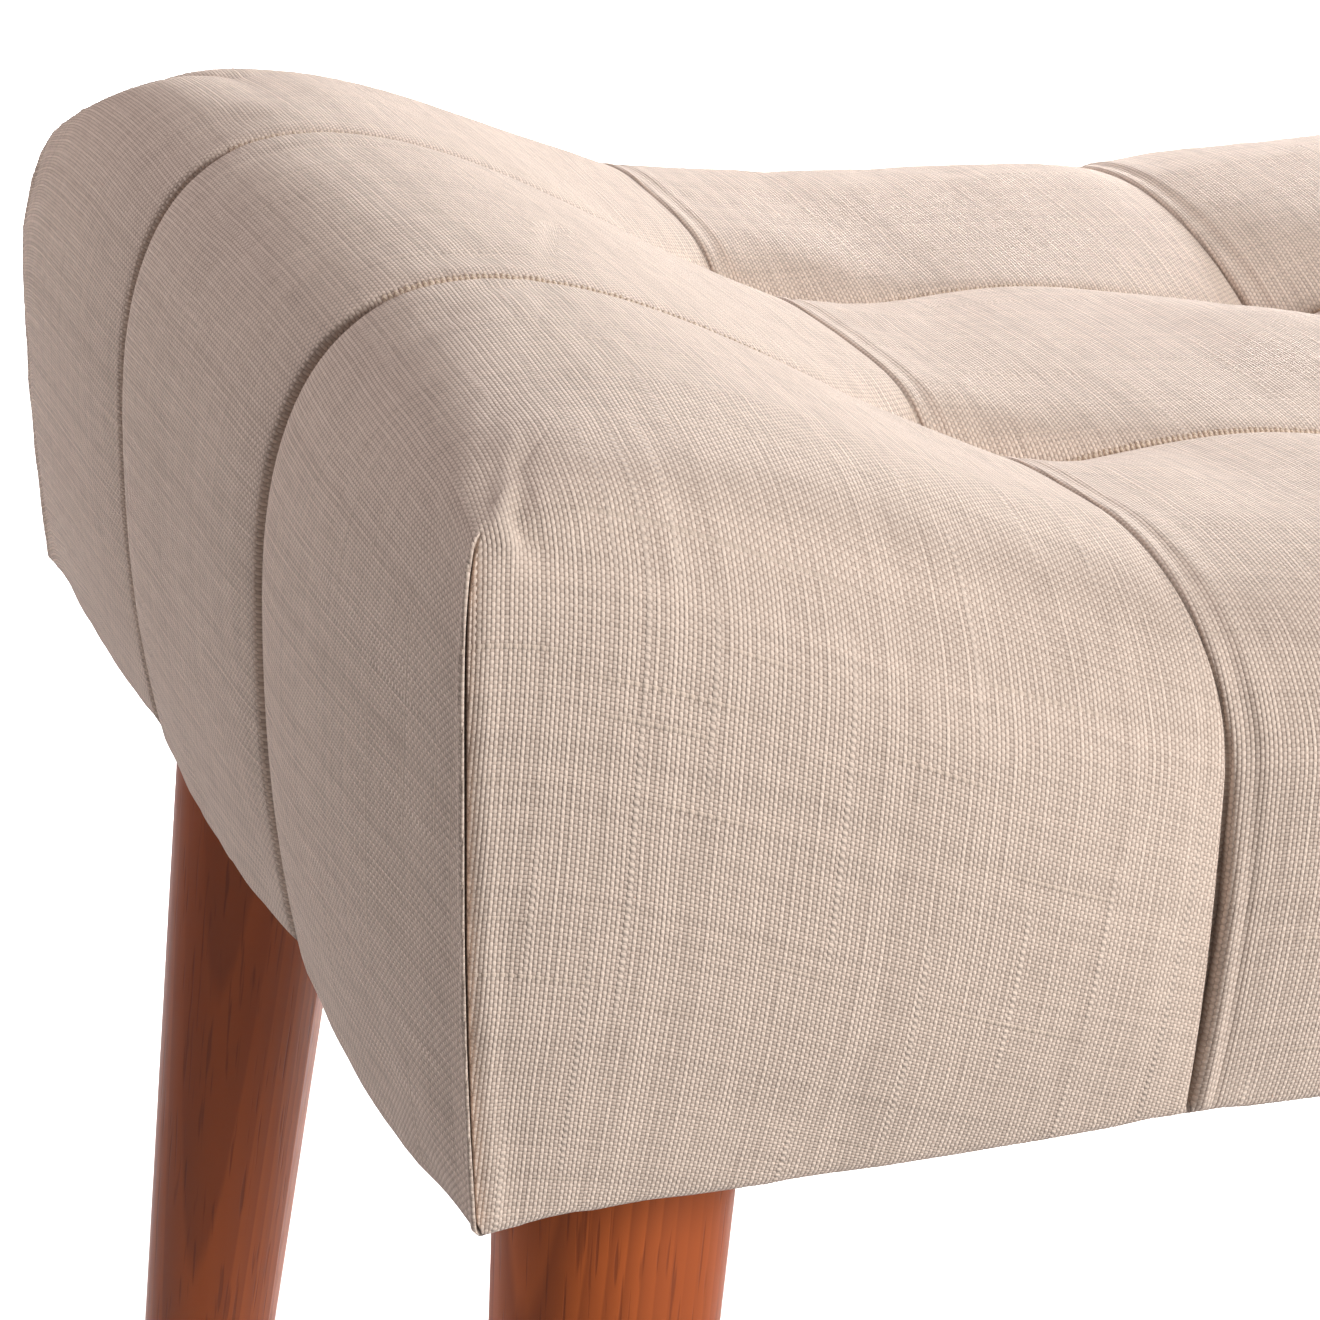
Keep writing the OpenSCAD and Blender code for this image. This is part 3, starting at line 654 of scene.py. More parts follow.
def ripples(grid):
    """What is left of a grid of heights when its broad swell is taken away."""
    broad = grid
    for _ in range(broad_passes):
        for axis in (0, 1):
            edged = np.concatenate([broad.take([0], axis), broad, broad.take([-1], axis)], axis)
            size = broad.shape[axis]
            before, after = edged.take(range(size), axis), edged.take(range(2, size + 2), axis)
            broad = broad / 2 + (before + after) / 4
    return grid - broad


def settle_cover():
    """How far the settled cloth stands off at the top's and the sides' points, in millimetres."""
    col_keep, row_keep = thinned(col_lines, col_w), thinned(row_lines, row_w)
    walk_keep = np.flatnonzero(np.isin(walk_i, col_keep) & np.isin(walk_j, row_keep))
    ring_keep = np.append(np.arange(0, len(rings), settle_ring_step), len(rings))
    top_grid = top_id(*np.meshgrid(col_keep, row_keep, indexing="ij"))
    ring_grid = ring_id(ring_keep[:, None], walk_keep[None])
    used = np.unique(np.concatenate([top_grid.ravel(), ring_grid.ravel()]))
    wrapped = np.concatenate([ring_grid, ring_grid[:, :1]], axis=1)
    cells = []
    for grid in (top_grid, wrapped):
        cell = np.stack([grid[:-1, :-1], grid[1:, :-1], grid[1:, 1:], grid[:-1, 1:]], -1)
        cells.append(np.searchsorted(used, cell.reshape(-1, 4)))
    seam_cols = [int(np.abs(col_lines - c).argmin()) for c in range(cols + 1)]
    seam_rows = [int(np.abs(row_lines - r).argmin()) for r in range(rows + 1)]
    held = {int(v) for i in seam_cols[1:-1] for v in top_id(i, row_keep)}
    held |= {int(v) for j in seam_rows[1:-1] for v in top_id(col_keep, j)}
    held |= {int(v) for v in ring_grid[-1]}
    for q, column in zip(walk_keep, ring_grid.T):
        long_seam = walk_j[q] in (0, ny) and walk_i[q] in seam_cols
        short_seam = walk_i[q] in (0, nx) and walk_j[q] in seam_rows
        if long_seam or short_seam:
            held |= {int(v) for v in column[1:]}
    mesh = bpy.data.meshes.new("settling")
    mesh.from_pydata((outer[used] * MM).tolist(), [], np.concatenate(cells).tolist())
    cloth = put_in_scene("settling", mesh)
    pins = cloth.vertex_groups.new(name="pins")
    pins.add([n for n, v in enumerate(used) if int(v) in held], 1.0, "REPLACE")
    solver = cloth.modifiers.new("settle", "CLOTH")
    for name, value in cloth_settings.items():
        setattr(solver.settings, name, value)
    solver.settings.effector_weights.gravity = 0
    solver.point_cache.frame_end = settle_frames
    for frame_number in range(1, settle_frames + 1):
        bpy.context.scene.frame_set(frame_number)
    settled = cloth.evaluated_get(bpy.context.evaluated_depsgraph_get())
    moved = np.zeros(len(used) * 3)
    settled.data.vertices.foreach_get("co", moved)
    off = ((moved.reshape(-1, 3) / MM - outer[used]) * normals[used]).sum(axis=1)
    bpy.data.objects.remove(cloth)
    bpy.context.scene.frame_set(1)
    off = dict(zip(used.tolist(), off))
    top_off, ring_off = (ripples(np.vectorize(off.get)(grid)) for grid in (top_grid, ring_grid))
    walk_at = np.arange(around)
    across = np.array([np.interp(row_lines, row_lines[row_keep], line) for line in top_off])
    fine_top = np.array([np.interp(col_lines, col_lines[col_keep], line) for line in across.T]).T
    closed = [(np.append(walk_keep, around), np.append(line, line[0])) for line in ring_off]
    round_about = np.array([np.interp(walk_at, *line) for line in closed])
    down = np.arange(1, len(rings) + 1)
    fine_rings = np.array([np.interp(down, ring_keep, line) for line in round_about.T]).T
    print("cloth settled:", len(used), "points, up to", round(float(np.abs(fine_top).max()), 2), "mm")
    return fine_top, fine_rings


top_off, ring_off = settle_cover()
off = np.zeros(len(outer))
off[:top_total] = top_off.ravel()
off[top_total : top_total + len(rings) * around] = ring_off.ravel()
calm = np.clip(np.minimum(np.abs(pleat_gap), np.abs(groove_gap)) / calm_w, 0, 1)
off = np.clip(off * ripple_gain * calm, -ripple_limit, ripple_limit)
outer = outer + normals * off[:, None]

# %% [markdown]
# The inside of the cover is the pocket that holds the frame and the foam. It
# closes the piece: the hem turns up, the wall rises to the foam slab, and one
# more pocket, for the foam rolls and the wadding, is set into the ceiling.

# %% The cover as one closed mesh
pocket_gap, pocket_in = 0.3, 0.4
weld_gap = 0.001
roll_square = 2.6
slab_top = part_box("foam_slab")[1].z / MM
wadding_low, wadding_high = (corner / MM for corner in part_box("wadding"))
roll_low, roll_high = (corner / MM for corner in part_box("foam_roll_right"))
wadding_t = wadding_high.x - roll_high.x - pocket_gap
wall_x = wadding_high.x + pocket_gap
wall_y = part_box("foam_slab")[1].y / MM + pocket_gap
hem_z, ceiling_z = seat_lift + hem_t, slab_top + pocket_gap
wall_in = half_l - wall_x, half_w - wall_y
ring_places = (hem_w, hem_w, hem_z), (*wall_in, hem_z), (*wall_in, ceiling_z)
inner_rings = [frame_ring(*place, side_points[-1]) for place in ring_places]


def bed_profile(grow):
    """The line over both foam rolls as (x, z), left to right, grown by the layers on them."""
    middle, half = (roll_low.x + roll_high.x) / 2, (roll_high.x - roll_low.x) / 2
    points = []
    for side in (-1, 1):
        for degrees in np.linspace(180, 0, 25):
            c, s = math.cos(math.radians(degrees)), math.sin(math.radians(degrees))
            x = side * middle + (half + grow) * math.copysign(abs(c) ** (2 / roll_square), c)
            z = slab_top + (roll_high.z - slab_top + grow) * max(s, 0) ** (2 / roll_square)
            points.append((x, max(z, slab_top + grow)))
    return points


def build_cover():
    points = np.concatenate([outer] + inner_rings) * MM
    base = len(outer)
    last = base - around
    starts = [last] + [base + n * around for n in range(len(inner_rings))]
    strips = []
    for low, high in zip(starts[:-1], starts[1:]):
        q = np.arange(around)
        nxt = (q + 1) % around
        strips.append(np.stack([low + q, high + q, high + nxt, low + nxt], -1))
    faces = np.concatenate([outer_faces] + strips)
    mesh = bpy.data.meshes.new("linen_cover")
    mesh.from_pydata(points.tolist(), [], faces.tolist())
    uv = mesh.uv_layers.new(name="cloth")
    values = np.zeros((len(faces), 4, 2))
    values[: len(cloth_uv)] = cloth_uv
    uv.data.foreach_set("uv", values.astype(np.float32).ravel())
    # The painted shade of the seams and the painted highlight of the nose ridge go onto the points as
    # marks.
    for name, values in (("crease", crease), ("taut_highlight", taut_highlight)):
        mark = mesh.attributes.new(name, "FLOAT", "POINT")
        values = np.concatenate([values, np.zeros(len(points) - base)])
        mark.data.foreach_set("value", values.astype(np.float32))
    bm = bmesh.new()
    bm.from_mesh(mesh)
    add_bed_pocket(bm)
    # At the hem's corners many lines of the grid end in one point. They are
    # joined first, because the ceiling is only filled between whole loops.
    bmesh.ops.remove_doubles(bm, verts=bm.verts, dist=weld_gap * MM)
    mouths = [edge for edge in bm.edges if edge.is_boundary]
    bmesh.ops.triangle_fill(bm, edges=mouths, use_beauty=True, use_dissolve=False)
    finish_mesh(bm, mesh)
    mesh.shade_smooth()
    return put_in_scene("linen_cover", mesh)


def add_bed_pocket(bm):
    """The pocket over the wadding, which is set into the ceiling."""
    half_y = (wadding_high.y + pocket_gap) * MM
    reach = wall_x - pocket_in
    line = bed_profile(wadding_t + 2 * pocket_gap)
    curve = [(min(max(x, -reach), reach), z) for x, z in line]
    profile = [(-reach, ceiling_z)] + curve + [(reach, ceiling_z)]
    front, back = (
        [bm.verts.new((x * MM, y, z * MM)) for x, z in profile] for y in (-half_y, half_y)
    )
    for n in range(len(profile) - 1):
        bm.faces.new((front[n], back[n], back[n + 1], front[n + 1]))
    bm.faces.new(front)
    bm.faces.new(list(reversed(back)))


cover = build_cover()
bpy.context.view_layer.update()
print("cover", len(cover.data.polygons), "faces")

# %% [markdown]
# Linen is a plain weave: each thread goes over one and under the next. Seen
# close, the warp shows as pale upright grains in a checker, the weft between
# them is darker. Thick places in the yarn, slubs, draw long lines both ways.
# A node group works all that out from the place in the flat cloth.

# %% Helpers for nodes
class Nodes:
    """Short names for the few kinds of node that the patterns need."""

    def __init__(self, tree):
        self.tree = tree

    def put(self, socket, value):
        if isinstance(value, bpy.types.NodeSocket):
            self.tree.links.new(value, socket)
        else:
            socket.default_value = value

    def fill(self, node, inputs):
        """Links or sets inputs of a node, given by name or number."""
        for name, value in inputs.items():
            self.put(node.inputs[name], value)
        return node

    def node(self, kind, inputs=None, **settings):
        made = self.tree.nodes.new(kind)
        for name, value in settings.items():
            setattr(made, name, value)
        return self.fill(made, inputs or {})

    def first(self, kind, inputs=None, **settings):
        """The first output of a new node."""
        return self.node(kind, inputs, **settings).outputs[0]

    def math(self, operation, *values):
        return self.first("ShaderNodeMath", dict(enumerate(values)), operation=operation)

    add = partialmethod(math, "ADD")
    sub = partialmethod(math, "SUBTRACT")
    mul = partialmethod(math, "MULTIPLY")
    div = partialmethod(math, "DIVIDE")
    fma = partialmethod(math, "MULTIPLY_ADD")
    most = partialmethod(math, "MAXIMUM")
    floor = partialmethod(math, "FLOOR")
    fract = partialmethod(math, "FRACT")
    sine = partialmethod(math, "SINE")

    def turn(self, index):
        """1 for an even number, -1 for an odd one."""
        return self.fma(self.math("PINGPONG", index, 1.0), -2.0, 1.0)

    def arch(self, x, fall=1.0):
        """A round top, 1 at its middle."""
        return self.math("SQRT", self.most(self.fma(self.mul(x, x), -fall, 1.0), 0.0))

    def ramp(self, value, low, high, out_low=0.0, out_high=1.0):
        names = ("Value", "From Min", "From Max", "To Min", "To Max")
        inputs = dict(zip(names, (value, low, high, out_low, out_high)))
        return self.first("ShaderNodeMapRange", inputs, interpolation_type="SMOOTHSTEP")

    def vector(self, x, y, z=0.0):
        return self.first("ShaderNodeCombineXYZ", {0: x, 1: y, 2: z})

    def split(self, vector):
        return self.node("ShaderNodeSeparateXYZ", {0: vector}).outputs

    def noise(self, vector, scale, detail=2.0, roughness=0.5):
        inputs = {"Vector": vector, "Scale": scale, "Detail": detail, "Roughness": roughness}
        return self.node("ShaderNodeTexNoise", inputs).outputs["Fac"]

    def white(self, value):
        made = self.node("ShaderNodeTexWhiteNoise", {"W": value}, noise_dimensions="1D")
        return made.outputs["Value"]

    def mix(self, share, first, second, blend="MIX"):
        inputs = {"Factor": share, "A": first, "B": second}
        made = self.node("ShaderNodeMix", inputs, data_type="RGBA", blend_type=blend)
        return made.outputs["Result"]

    def mark(self, name):
        """A mark that the points of the mesh carry."""
        return self.node("ShaderNodeAttribute", attribute_name=name).outputs["Fac"]

    def place(self):
        return self.node("ShaderNodeTexCoord").outputs["Object"]

    def relief(self, shader, height, depth_mm, strength=1.0):
        inputs = {"Height": height, "Distance": depth_mm * MM, "Strength": strength}
        self.put(shader.inputs["Normal"], self.first("ShaderNodeBump", inputs))


def new_group(name, inputs, outputs):
    """An empty shader node group; inputs are (name, default), outputs are names."""
    tree = bpy.data.node_groups.new(name, "ShaderNodeTree")
    for title, default in inputs:
        kind = "NodeSocketVector" if isinstance(default, tuple) else "NodeSocketFloat"
        tree.interface.new_socket(title, in_out="INPUT", socket_type=kind).default_value = default
    for title in outputs:
        tree.interface.new_socket(title, in_out="OUTPUT", socket_type="NodeSocketFloat")
    given, out = tree.nodes.new("NodeGroupInput"), tree.nodes.new("NodeGroupOutput")
    return tree, Nodes(tree), given.outputs, out


def new_material(name):
    material = bpy.data.materials.new(name)
    material.use_nodes = True
    tree = material.node_tree
    return material, Nodes(tree), tree.nodes["Principled BSDF"]


# %% The weave group
warp_pitch, weft_pitch = 0.866, 0.78
sway_mm, sway_scale = 1.6, 0.02
slub_reach, slub_dip = 0.75, 0.13
thread_wave, slub_wave = 0.27, 0.42
crown_fall, warp_crown, weft_crown = 3.9, 0.70, 0.50
swell_mm, swell_part, swell_least, thread_part = 9.0, 0.7, 0.65, 0.34


def slub_line(n, across, along, every, run, share, seed):
    """A thick thread here and there: its ridge, its number, the dip beside it."""
    count = n.floor(n.div(across, every))
    chosen = n.floor(n.mul(n.white(n.add(count, seed)), every * 0.999))
    thread = n.fma(count, every, chosen)
    gap = n.math("ABSOLUTE", n.sub(n.sub(across, thread), 0.5))
    place = n.vector(n.mul(count, 7.31), n.div(along, run), seed)
    thick = n.ramp(n.noise(place, 1.0, 1.0), share, share + 0.16)
    near = n.div(gap, n.fma(thick, slub_reach, 0.05))
    dip = n.mul(n.ramp(gap, 0.7, 1.5, slub_dip, 0.0), thick)
    return n.mul(n.arch(near), thick), thread, dip


def make_weave_group():
    tree, n, given, out = new_group(
        "plain_weave",
        [
            ("Cloth", (0.0, 0.0, 0.0)),
            ("Warp Pitch mm", warp_pitch),
            ("Weft Pitch mm", weft_pitch),
            ("Slubs", 1.0),
        ],
        ["Height", "Warp On Top", "Warp Slub", "Weft Slub", "Tone"],
    )
    u, v, _ = n.split(given["Cloth"])
    u_mm, v_mm = n.mul(u, 1 / DM), n.mul(v, 1 / DM)
    sway_u = n.mul(n.noise(n.vector(u_mm, v_mm), sway_scale, 1.0), sway_mm)
    sway_v = n.mul(n.noise(n.vector(v_mm, u_mm, 9.0), sway_scale, 1.0), sway_mm)
    u_mm, v_mm = n.add(u_mm, sway_u), n.add(v_mm, sway_v)
    w, f = n.div(u_mm, given["Warp Pitch mm"]), n.div(v_mm, given["Weft Pitch mm"])
    warp_no, weft_no = n.floor(w), n.floor(f)
    sine_w, sine_f = n.sine(n.mul(w, math.pi)), n.sine(n.mul(f, math.pi))

    def waves(warp_index, weft_index):
        """How far a warp and a weft thread rise where they cross."""
        return n.mul(sine_f, n.turn(warp_index)), n.mul(sine_w, n.mul(n.turn(weft_index), -1.0))

    def crown(x):
        return n.arch(n.sub(n.fract(x), 0.5), crown_fall)

    def yarn(index, along, seed):
        place = n.vector(n.mul(index, 5.3), n.div(along, swell_mm), seed)
        swelling = n.fma(n.noise(place, 1.0, 1.0), swell_part, swell_least)
        return n.fma(n.white(n.add(index, seed)), thread_part, n.sub(swelling, thread_part / 2))

    wave_w, wave_f = waves(warp_no, weft_no)
    thick_w = n.fma(n.turn(warp_no), 0.13, yarn(warp_no, v_mm, 3.7))
    thick_f = yarn(weft_no, u_mm, 23.7)
    high_w = n.fma(wave_w, thread_wave, n.mul(n.mul(crown(w), thick_w), warp_crown))
    high_f = n.fma(wave_f, thread_wave, n.mul(n.mul(crown(f), thick_f), weft_crown))
    warp_slub, warp_thread, warp_dip = slub_line(n, w, v_mm, 10.0, 75.0, 0.47, 3.3)
    weft_slub, weft_thread, weft_dip = slub_line(n, f, u_mm, 9.0, 55.0, 0.50, 11.9)
    dips = n.mul(n.most(warp_dip, weft_dip), given["Slubs"])
    plain = n.sub(n.most(high_w, high_f), dips)
    warp_slub, weft_slub = n.mul(warp_slub, given["Slubs"]), n.mul(weft_slub, given["Slubs"])
    wave_ws, wave_fs = waves(warp_thread, weft_thread)
    ridge_w = n.mul(warp_slub, n.fma(wave_ws, slub_wave, 0.86))
    ridge_f = n.mul(weft_slub, n.fma(wave_fs, slub_wave, 0.80))
    results = {
        "Height": n.most(plain, n.most(ridge_w, ridge_f)),
        "Warp On Top": n.ramp(n.sub(high_w, high_f), -0.06, 0.06),
        "Warp Slub": warp_slub,
        "Weft Slub": weft_slub,
        "Tone": n.mul(n.add(thick_w, thick_f), 0.5),
    }
    n.fill(out, results)
    return tree


weave_group = make_weave_group()

# %% The linen
crease_shade_colour = (0.07, 0.045, 0.035, 1)


def make_cloth(name, warp, weft, slub, shade, pitches=(warp_pitch, weft_pitch), slubs=1.0):
    material, n, shader = new_material(name)
    inputs = {
        "Cloth": n.first("ShaderNodeUVMap", uv_map="cloth"),
        "Warp Pitch mm": pitches[0],
        "Weft Pitch mm": pitches[1],
        "Slubs": slubs,
    }
    weave = n.node("ShaderNodeGroup", inputs, node_tree=weave_group).outputs
    base = n.mix(weave["Warp On Top"], weft, warp)
    base = n.mix(n.mul(weave["Warp Slub"], 0.5), base, warp)
    base = n.mix(n.mul(weave["Weft Slub"], 0.5), base, slub)
    tone = n.ramp(weave["Tone"], 0.6, 1.4, 0.88, 1.12)
    base = n.mix(1.0, base, n.vector(tone, tone, tone), "MULTIPLY")
    # Painted shade: the low places between the threads are darkened towards the shade colour.
    base = n.mix(n.ramp(weave["Height"], 0.1, 0.7, 0.75, 0.0), base, shade)
    # Painted shade down in the seams and in the dimple, from the crease mark.
    base = n.mix(n.mul(n.mark("crease"), 0.85), base, crease_shade_colour)
    # Painted highlight on the taut ridge over the nose.
    base = n.mix(n.mul(n.mark("taut_highlight"), 0.75), base, warp)
    sheen = {"Sheen Weight": 0.15, "Sheen Roughness": 0.5}
    n.fill(shader, {"Base Color": base, "Roughness": 0.9, "Specular IOR Level": 0.25, **sheen})
    n.relief(shader, weave["Height"], 0.38)
    return material


def dress(piece, node):
    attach(piece, "root")
    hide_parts(node)


linen_warp, linen_weft = (0.83, 0.675, 0.562, 1), (0.66, 0.514, 0.421, 1)
linen_slub, linen_shade = (0.70, 0.56, 0.45, 1), (0.28, 0.19, 0.145, 1)
linen = make_cloth("linen", linen_warp, linen_weft, linen_slub, linen_shade)
cover.data.materials.append(linen)
dress(cover, "tufted_cover")

# %% [markdown]
# The long seams are closed with a dense row of stitches in a slightly yellower
# thread. One stitch is modelled, and Geometry Nodes set it along both seams,
# a little uneven, the same way each time.

# %% The stitches of the long seams
stitch_gap, stitch_half_w, stitch_r = 1.3, 1.4, 0.45
stitch_place, stitch_rings = 1.3, 5
least_stitch, most_stitch = (0.85, 0.8, 0.7), (1.1, 1.15, 1.2)


def make_stitch_tree(material):
    """Nodes that set a stitch at even gaps along a line, turned along it and up from the cloth."""
    tree = bpy.data.node_groups.new("stitch_row", "GeometryNodeTree")
    sockets = tree.interface
    sockets.new_socket("Geometry", in_out="INPUT", socket_type="NodeSocketGeometry")
    for title, value in (("Gap", stitch_gap), ("Half Width", stitch_half_w), ("Thickness", stitch_r)):
        socket = sockets.new_socket(title, in_out="INPUT", socket_type="NodeSocketFloat")
        socket.default_value = value * MM
    sockets.new_socket("Geometry", in_out="OUTPUT", socket_type="NodeSocketGeometry")
    n = Nodes(tree)
    given = n.node("NodeGroupInput").outputs
    out = n.node("NodeGroupOutput")
    align = "FunctionNodeAlignRotationToVector"
    curve = n.first("GeometryNodeMeshToCurve", {"Mesh": given["Geometry"]})
    spots = n.first("GeometryNodeResampleCurve", {"Curve": curve, "Length": given["Gap"]}, mode="LENGTH")
    tangent = n.first("GeometryNodeInputTangent")
    named = n.node("GeometryNodeInputNamedAttribute", {"Name": "up"}, data_type="FLOAT_VECTOR")
    level = n.first(align, {"Vector": named.outputs["Attribute"]}, axis="Z")
    heading = n.first(align, {"Rotation": level, "Vector": tangent}, axis="X", pivot_axis="Z")
    size = n.vector(given["Thickness"], given["Half Width"], given["Thickness"])
    ball = n.first("GeometryNodeMeshIcoSphere", {"Radius": 1.0, "Subdivisions": 2})
    stitch = n.first("GeometryNodeTransform", {"Geometry": ball, "Scale": size})
    between = {"Seed": 5, 0: least_stitch, 1: most_stitch}
    vary = n.first("FunctionNodeRandomValue", between, data_type="FLOAT_VECTOR")
    each = {"Points": spots, "Instance": stitch, "Rotation": heading, "Scale": vary}
    row = n.first("GeometryNodeInstanceOnPoints", each)
    solid = n.first("GeometryNodeRealizeInstances", {"Geometry": row})
    smooth = n.first("GeometryNodeSetShadeSmooth", {"Geometry": solid})
    n.fill(out, {0: n.first("GeometryNodeSetMaterial", {"Geometry": smooth, "Material": material})})
    return tree


def make_thread(name, pale, shade):
    """Sewing thread: its twist shows as fine slanting lines across each stitch."""
    material, n, shader = new_material(name)
    place = n.place()
    x, y, _ = n.split(place)
    twist = n.fma(n.sine(n.add(n.mul(y, 9000.0), n.mul(x, 5000.0))), 0.5, 0.5)
    height = n.fma(n.noise(place, 2500.0, 2.0), 0.6, twist)
    # Painted shade: the low places of the twist and the fuzz are darker, towards the shade colour.
    n.fill(shader, {"Base Color": n.mix(n.ramp(height, 0.3, 1.2), shade, pale), "Roughness": 0.8})
    n.relief(shader, height, 0.12)
    return material


def build_stitches():
    """Both rows of stitches, on the far flank of each groove and on over the ends."""
    upward = point_normals(outer, outer_faces)
    steps_in, steps_out = np.arange(stitch_rings, 0, -1), np.arange(1, stitch_rings + 1)
    points, edges, ups = [], [], []
    for seam in range(1, rows):
        j = int(np.abs(row_lines - seam - stitch_place / row_w).argmin())
        line = [ring_id(k, around - j) for k in steps_in] + [top_id(i, j) for i in range(nx + 1)]
        line = np.array(line + [ring_id(k, nx + j) for k in steps_out], dtype=int)
        base = len(points)
        points += (outer[line] * MM).tolist()
        ups += upward[line].ravel().tolist()
        edges += [(base + n, base + n + 1) for n in range(len(line) - 1)]
    mesh = bpy.data.meshes.new("seam_lines")
    mesh.from_pydata(points, edges, [])
    mesh.attributes.new("up", "FLOAT_VECTOR", "POINT").data.foreach_set("vector", ups)
    source = put_in_scene("seam_lines", mesh)
    thread = make_thread("seam_thread", (0.82, 0.66, 0.52, 1), (0.60, 0.46, 0.34, 1))
    stitcher = source.modifiers.new("stitches", "NODES")
    stitcher.node_group = make_stitch_tree(thread)
    items = stitcher.node_group.interface.items_tree
    named = {item.name: item.identifier for item in items if item.in_out == "INPUT"}
    stitcher[named["Gap"]] = stitch_gap * MM
    bpy.context.view_layer.update()
    done = source.evaluated_get(bpy.context.evaluated_depsgraph_get())
    solid = bpy.data.meshes.new_from_object(done)
    bpy.data.objects.remove(source)
    return put_in_scene("seam_stitches", solid)


stitches = build_stitches()
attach(stitches, "root")
print("stitches:", len(stitches.data.polygons), "faces")

# %% [markdown]
# The legs are turned beech or cherry under a reddish stain. The grain runs
# along each leg, so the pattern is turned to the leg's own lean.

# %% The stained wood
heart_x, heart_y, heart_lean = 0.024, 0.013, 0.02


def make_grain_group():
    """Grain that runs along Z: growth rings round a heart off to one side, streaks and pores."""
    tree, n, given, out = new_group(
        "wood_grain",
        [("Place", (0.0, 0.0, 0.0)), ("Stretch", 12.0), ("Scale", 60.0), ("Ring Gap", 0.003)],
        ["Grain", "Pores", "Cloud", "Rings"],
    )
    x, y, z = n.split(given["Place"])
    along = n.div(z, given["Stretch"])
    bend = n.mul(n.noise(n.vector(x, y, along), 9.0, 2.0), 0.02)
    bent_x, bent_y = n.add(x, bend), n.add(y, bend)
    place = n.vector(bent_x, bent_y, along)
    pore_place = n.vector(x, y, n.div(z, 28.0))
    from_heart = n.vector(n.add(n.add(bent_x, heart_x), n.mul(z, heart_lean)), n.add(bent_y, heart_y))
    heart = n.node("ShaderNodeVectorMath", {0: from_heart}, operation="LENGTH").outputs["Value"]
    turns = n.fract(n.div(heart, given["Ring Gap"]))
    results = {
        "Grain": n.noise(place, given["Scale"], 4.0, 0.6),
        "Pores": n.ramp(n.noise(pore_place, 900.0, 1.0), 0.60, 0.72),
        "Cloud": n.noise(place, 14.0, 2.0),
        "Rings": n.mul(turns, n.ramp(turns, 0.85, 1.0, 1.0, 0.0)),
    }
    n.fill(out, results)
    return tree


grain_group = make_grain_group()
no_turn = no_shift = (0.0, 0.0, 0.0)


def make_wood(name, colours, rings, turn=no_turn, shift=no_shift, coat=0.0, plies=None):
    """Wood with its grain along Z before the turn; plies is a plywood's (lowest height, thickness)."""
    pale, mid, dark = colours
    material, n, shader = new_material(name)
    whole = n.place()
    place = n.first("ShaderNodeMapping", {"Vector": whole, "Location": shift, "Rotation": turn})
    if plies:
        x, y, z = n.split(whole)
        layer = n.floor(n.div(n.sub(z, plies[0]), plies[1]))
        odd, jump, level = n.math("PINGPONG", layer, 1.0), n.mul(layer, 0.137), n.mul(z, 0.2)
        place = n.mix(odd, n.vector(n.add(y, jump), level, x), n.vector(n.add(x, jump), level, y))
    grain = n.node("ShaderNodeGroup", {"Place": place}, node_tree=grain_group).outputs
    wood = n.mix(n.ramp(grain["Cloud"], 0.3, 0.7), mid, pale)
    wood = n.mix(n.mul(grain["Rings"], rings), wood, dark)
    wood = n.mix(n.ramp(grain["Grain"], 0.40, 0.68, 0.0, 0.7), wood, mid)
    wood = n.mix(n.mul(grain["Pores"], 0.55), wood, dark)
    if plies:
        wood = n.mix(n.mul(odd, 0.35), wood, dark)
    gloss = {"Specular IOR Level": 0.3, "Coat Weight": coat, "Coat Roughness": 0.3}
    roughness = n.ramp(grain["Grain"], 0.3, 0.7, 0.42, 0.55)
    n.fill(shader, {"Base Color": wood, "Roughness": roughness, **gloss})
    n.relief(shader, n.sub(grain["Grain"], grain["Pores"]), 0.08, 0.5)
    return material


def wear(name, material):
    materials = nodes[name].data.materials
    materials.clear()
    materials.append(material)


leg_splay = math.radians(5.3)
cherry = (0.56, 0.126, 0.025), (0.38, 0.079, 0.016), (0.16, 0.032, 0.010)
# The back legs are painted darker: painted shade for the seat's shadow over them.
back_leg_shade = 0.78
for number, corner in enumerate(("front_left", "front_right", "back_left", "back_right")):
    out_x = 1 if "right" in corner else -1
    out_y = 1 if "back" in corner else -1
    tone = back_leg_shade if out_y > 0 else 1.0
    wood = make_wood(
        "cherry_" + corner,
        [tuple(part * tone for part in colour) + (1,) for colour in cherry],
        0.5,
        turn=(-out_y * leg_splay, out_x * leg_splay, 0.0),
        shift=(0.31 * number, 0.17 * number, 0.0),
        coat=0.06,
    )
    wear("leg_" + corner, wood)

# %% Softwood for the frame, plywood for the board
pine_colours = (0.80, 0.60, 0.38, 1), (0.72, 0.50, 0.29, 1), (0.50, 0.29, 0.13, 1)
quarter, ply_count = math.pi / 2, 7
pine_along_x = make_wood("pine_along_x", pine_colours, 0.55, turn=(0.0, quarter, 0.0))
pine_along_y = make_wood("pine_along_y", pine_colours, 0.55, turn=(quarter, 0.0, 0.0))
board_low, board_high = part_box("seat_board")
ply_t = (board_high.z - board_low.z) / ply_count
wear("seat_board", make_wood("birch_plywood", pine_colours, 0.35, plies=(board_low.z, ply_t)))
for name in nodes:
    if name.startswith(("rail", "cross_rail", "corner_block")) and "screws" not in name:
        low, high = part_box(name)
        wear(name, pine_along_x if high.x - low.x > high.y - low.y else pine_along_y)

# %% Metal, plastic and twine
twine_lay = 0.0022


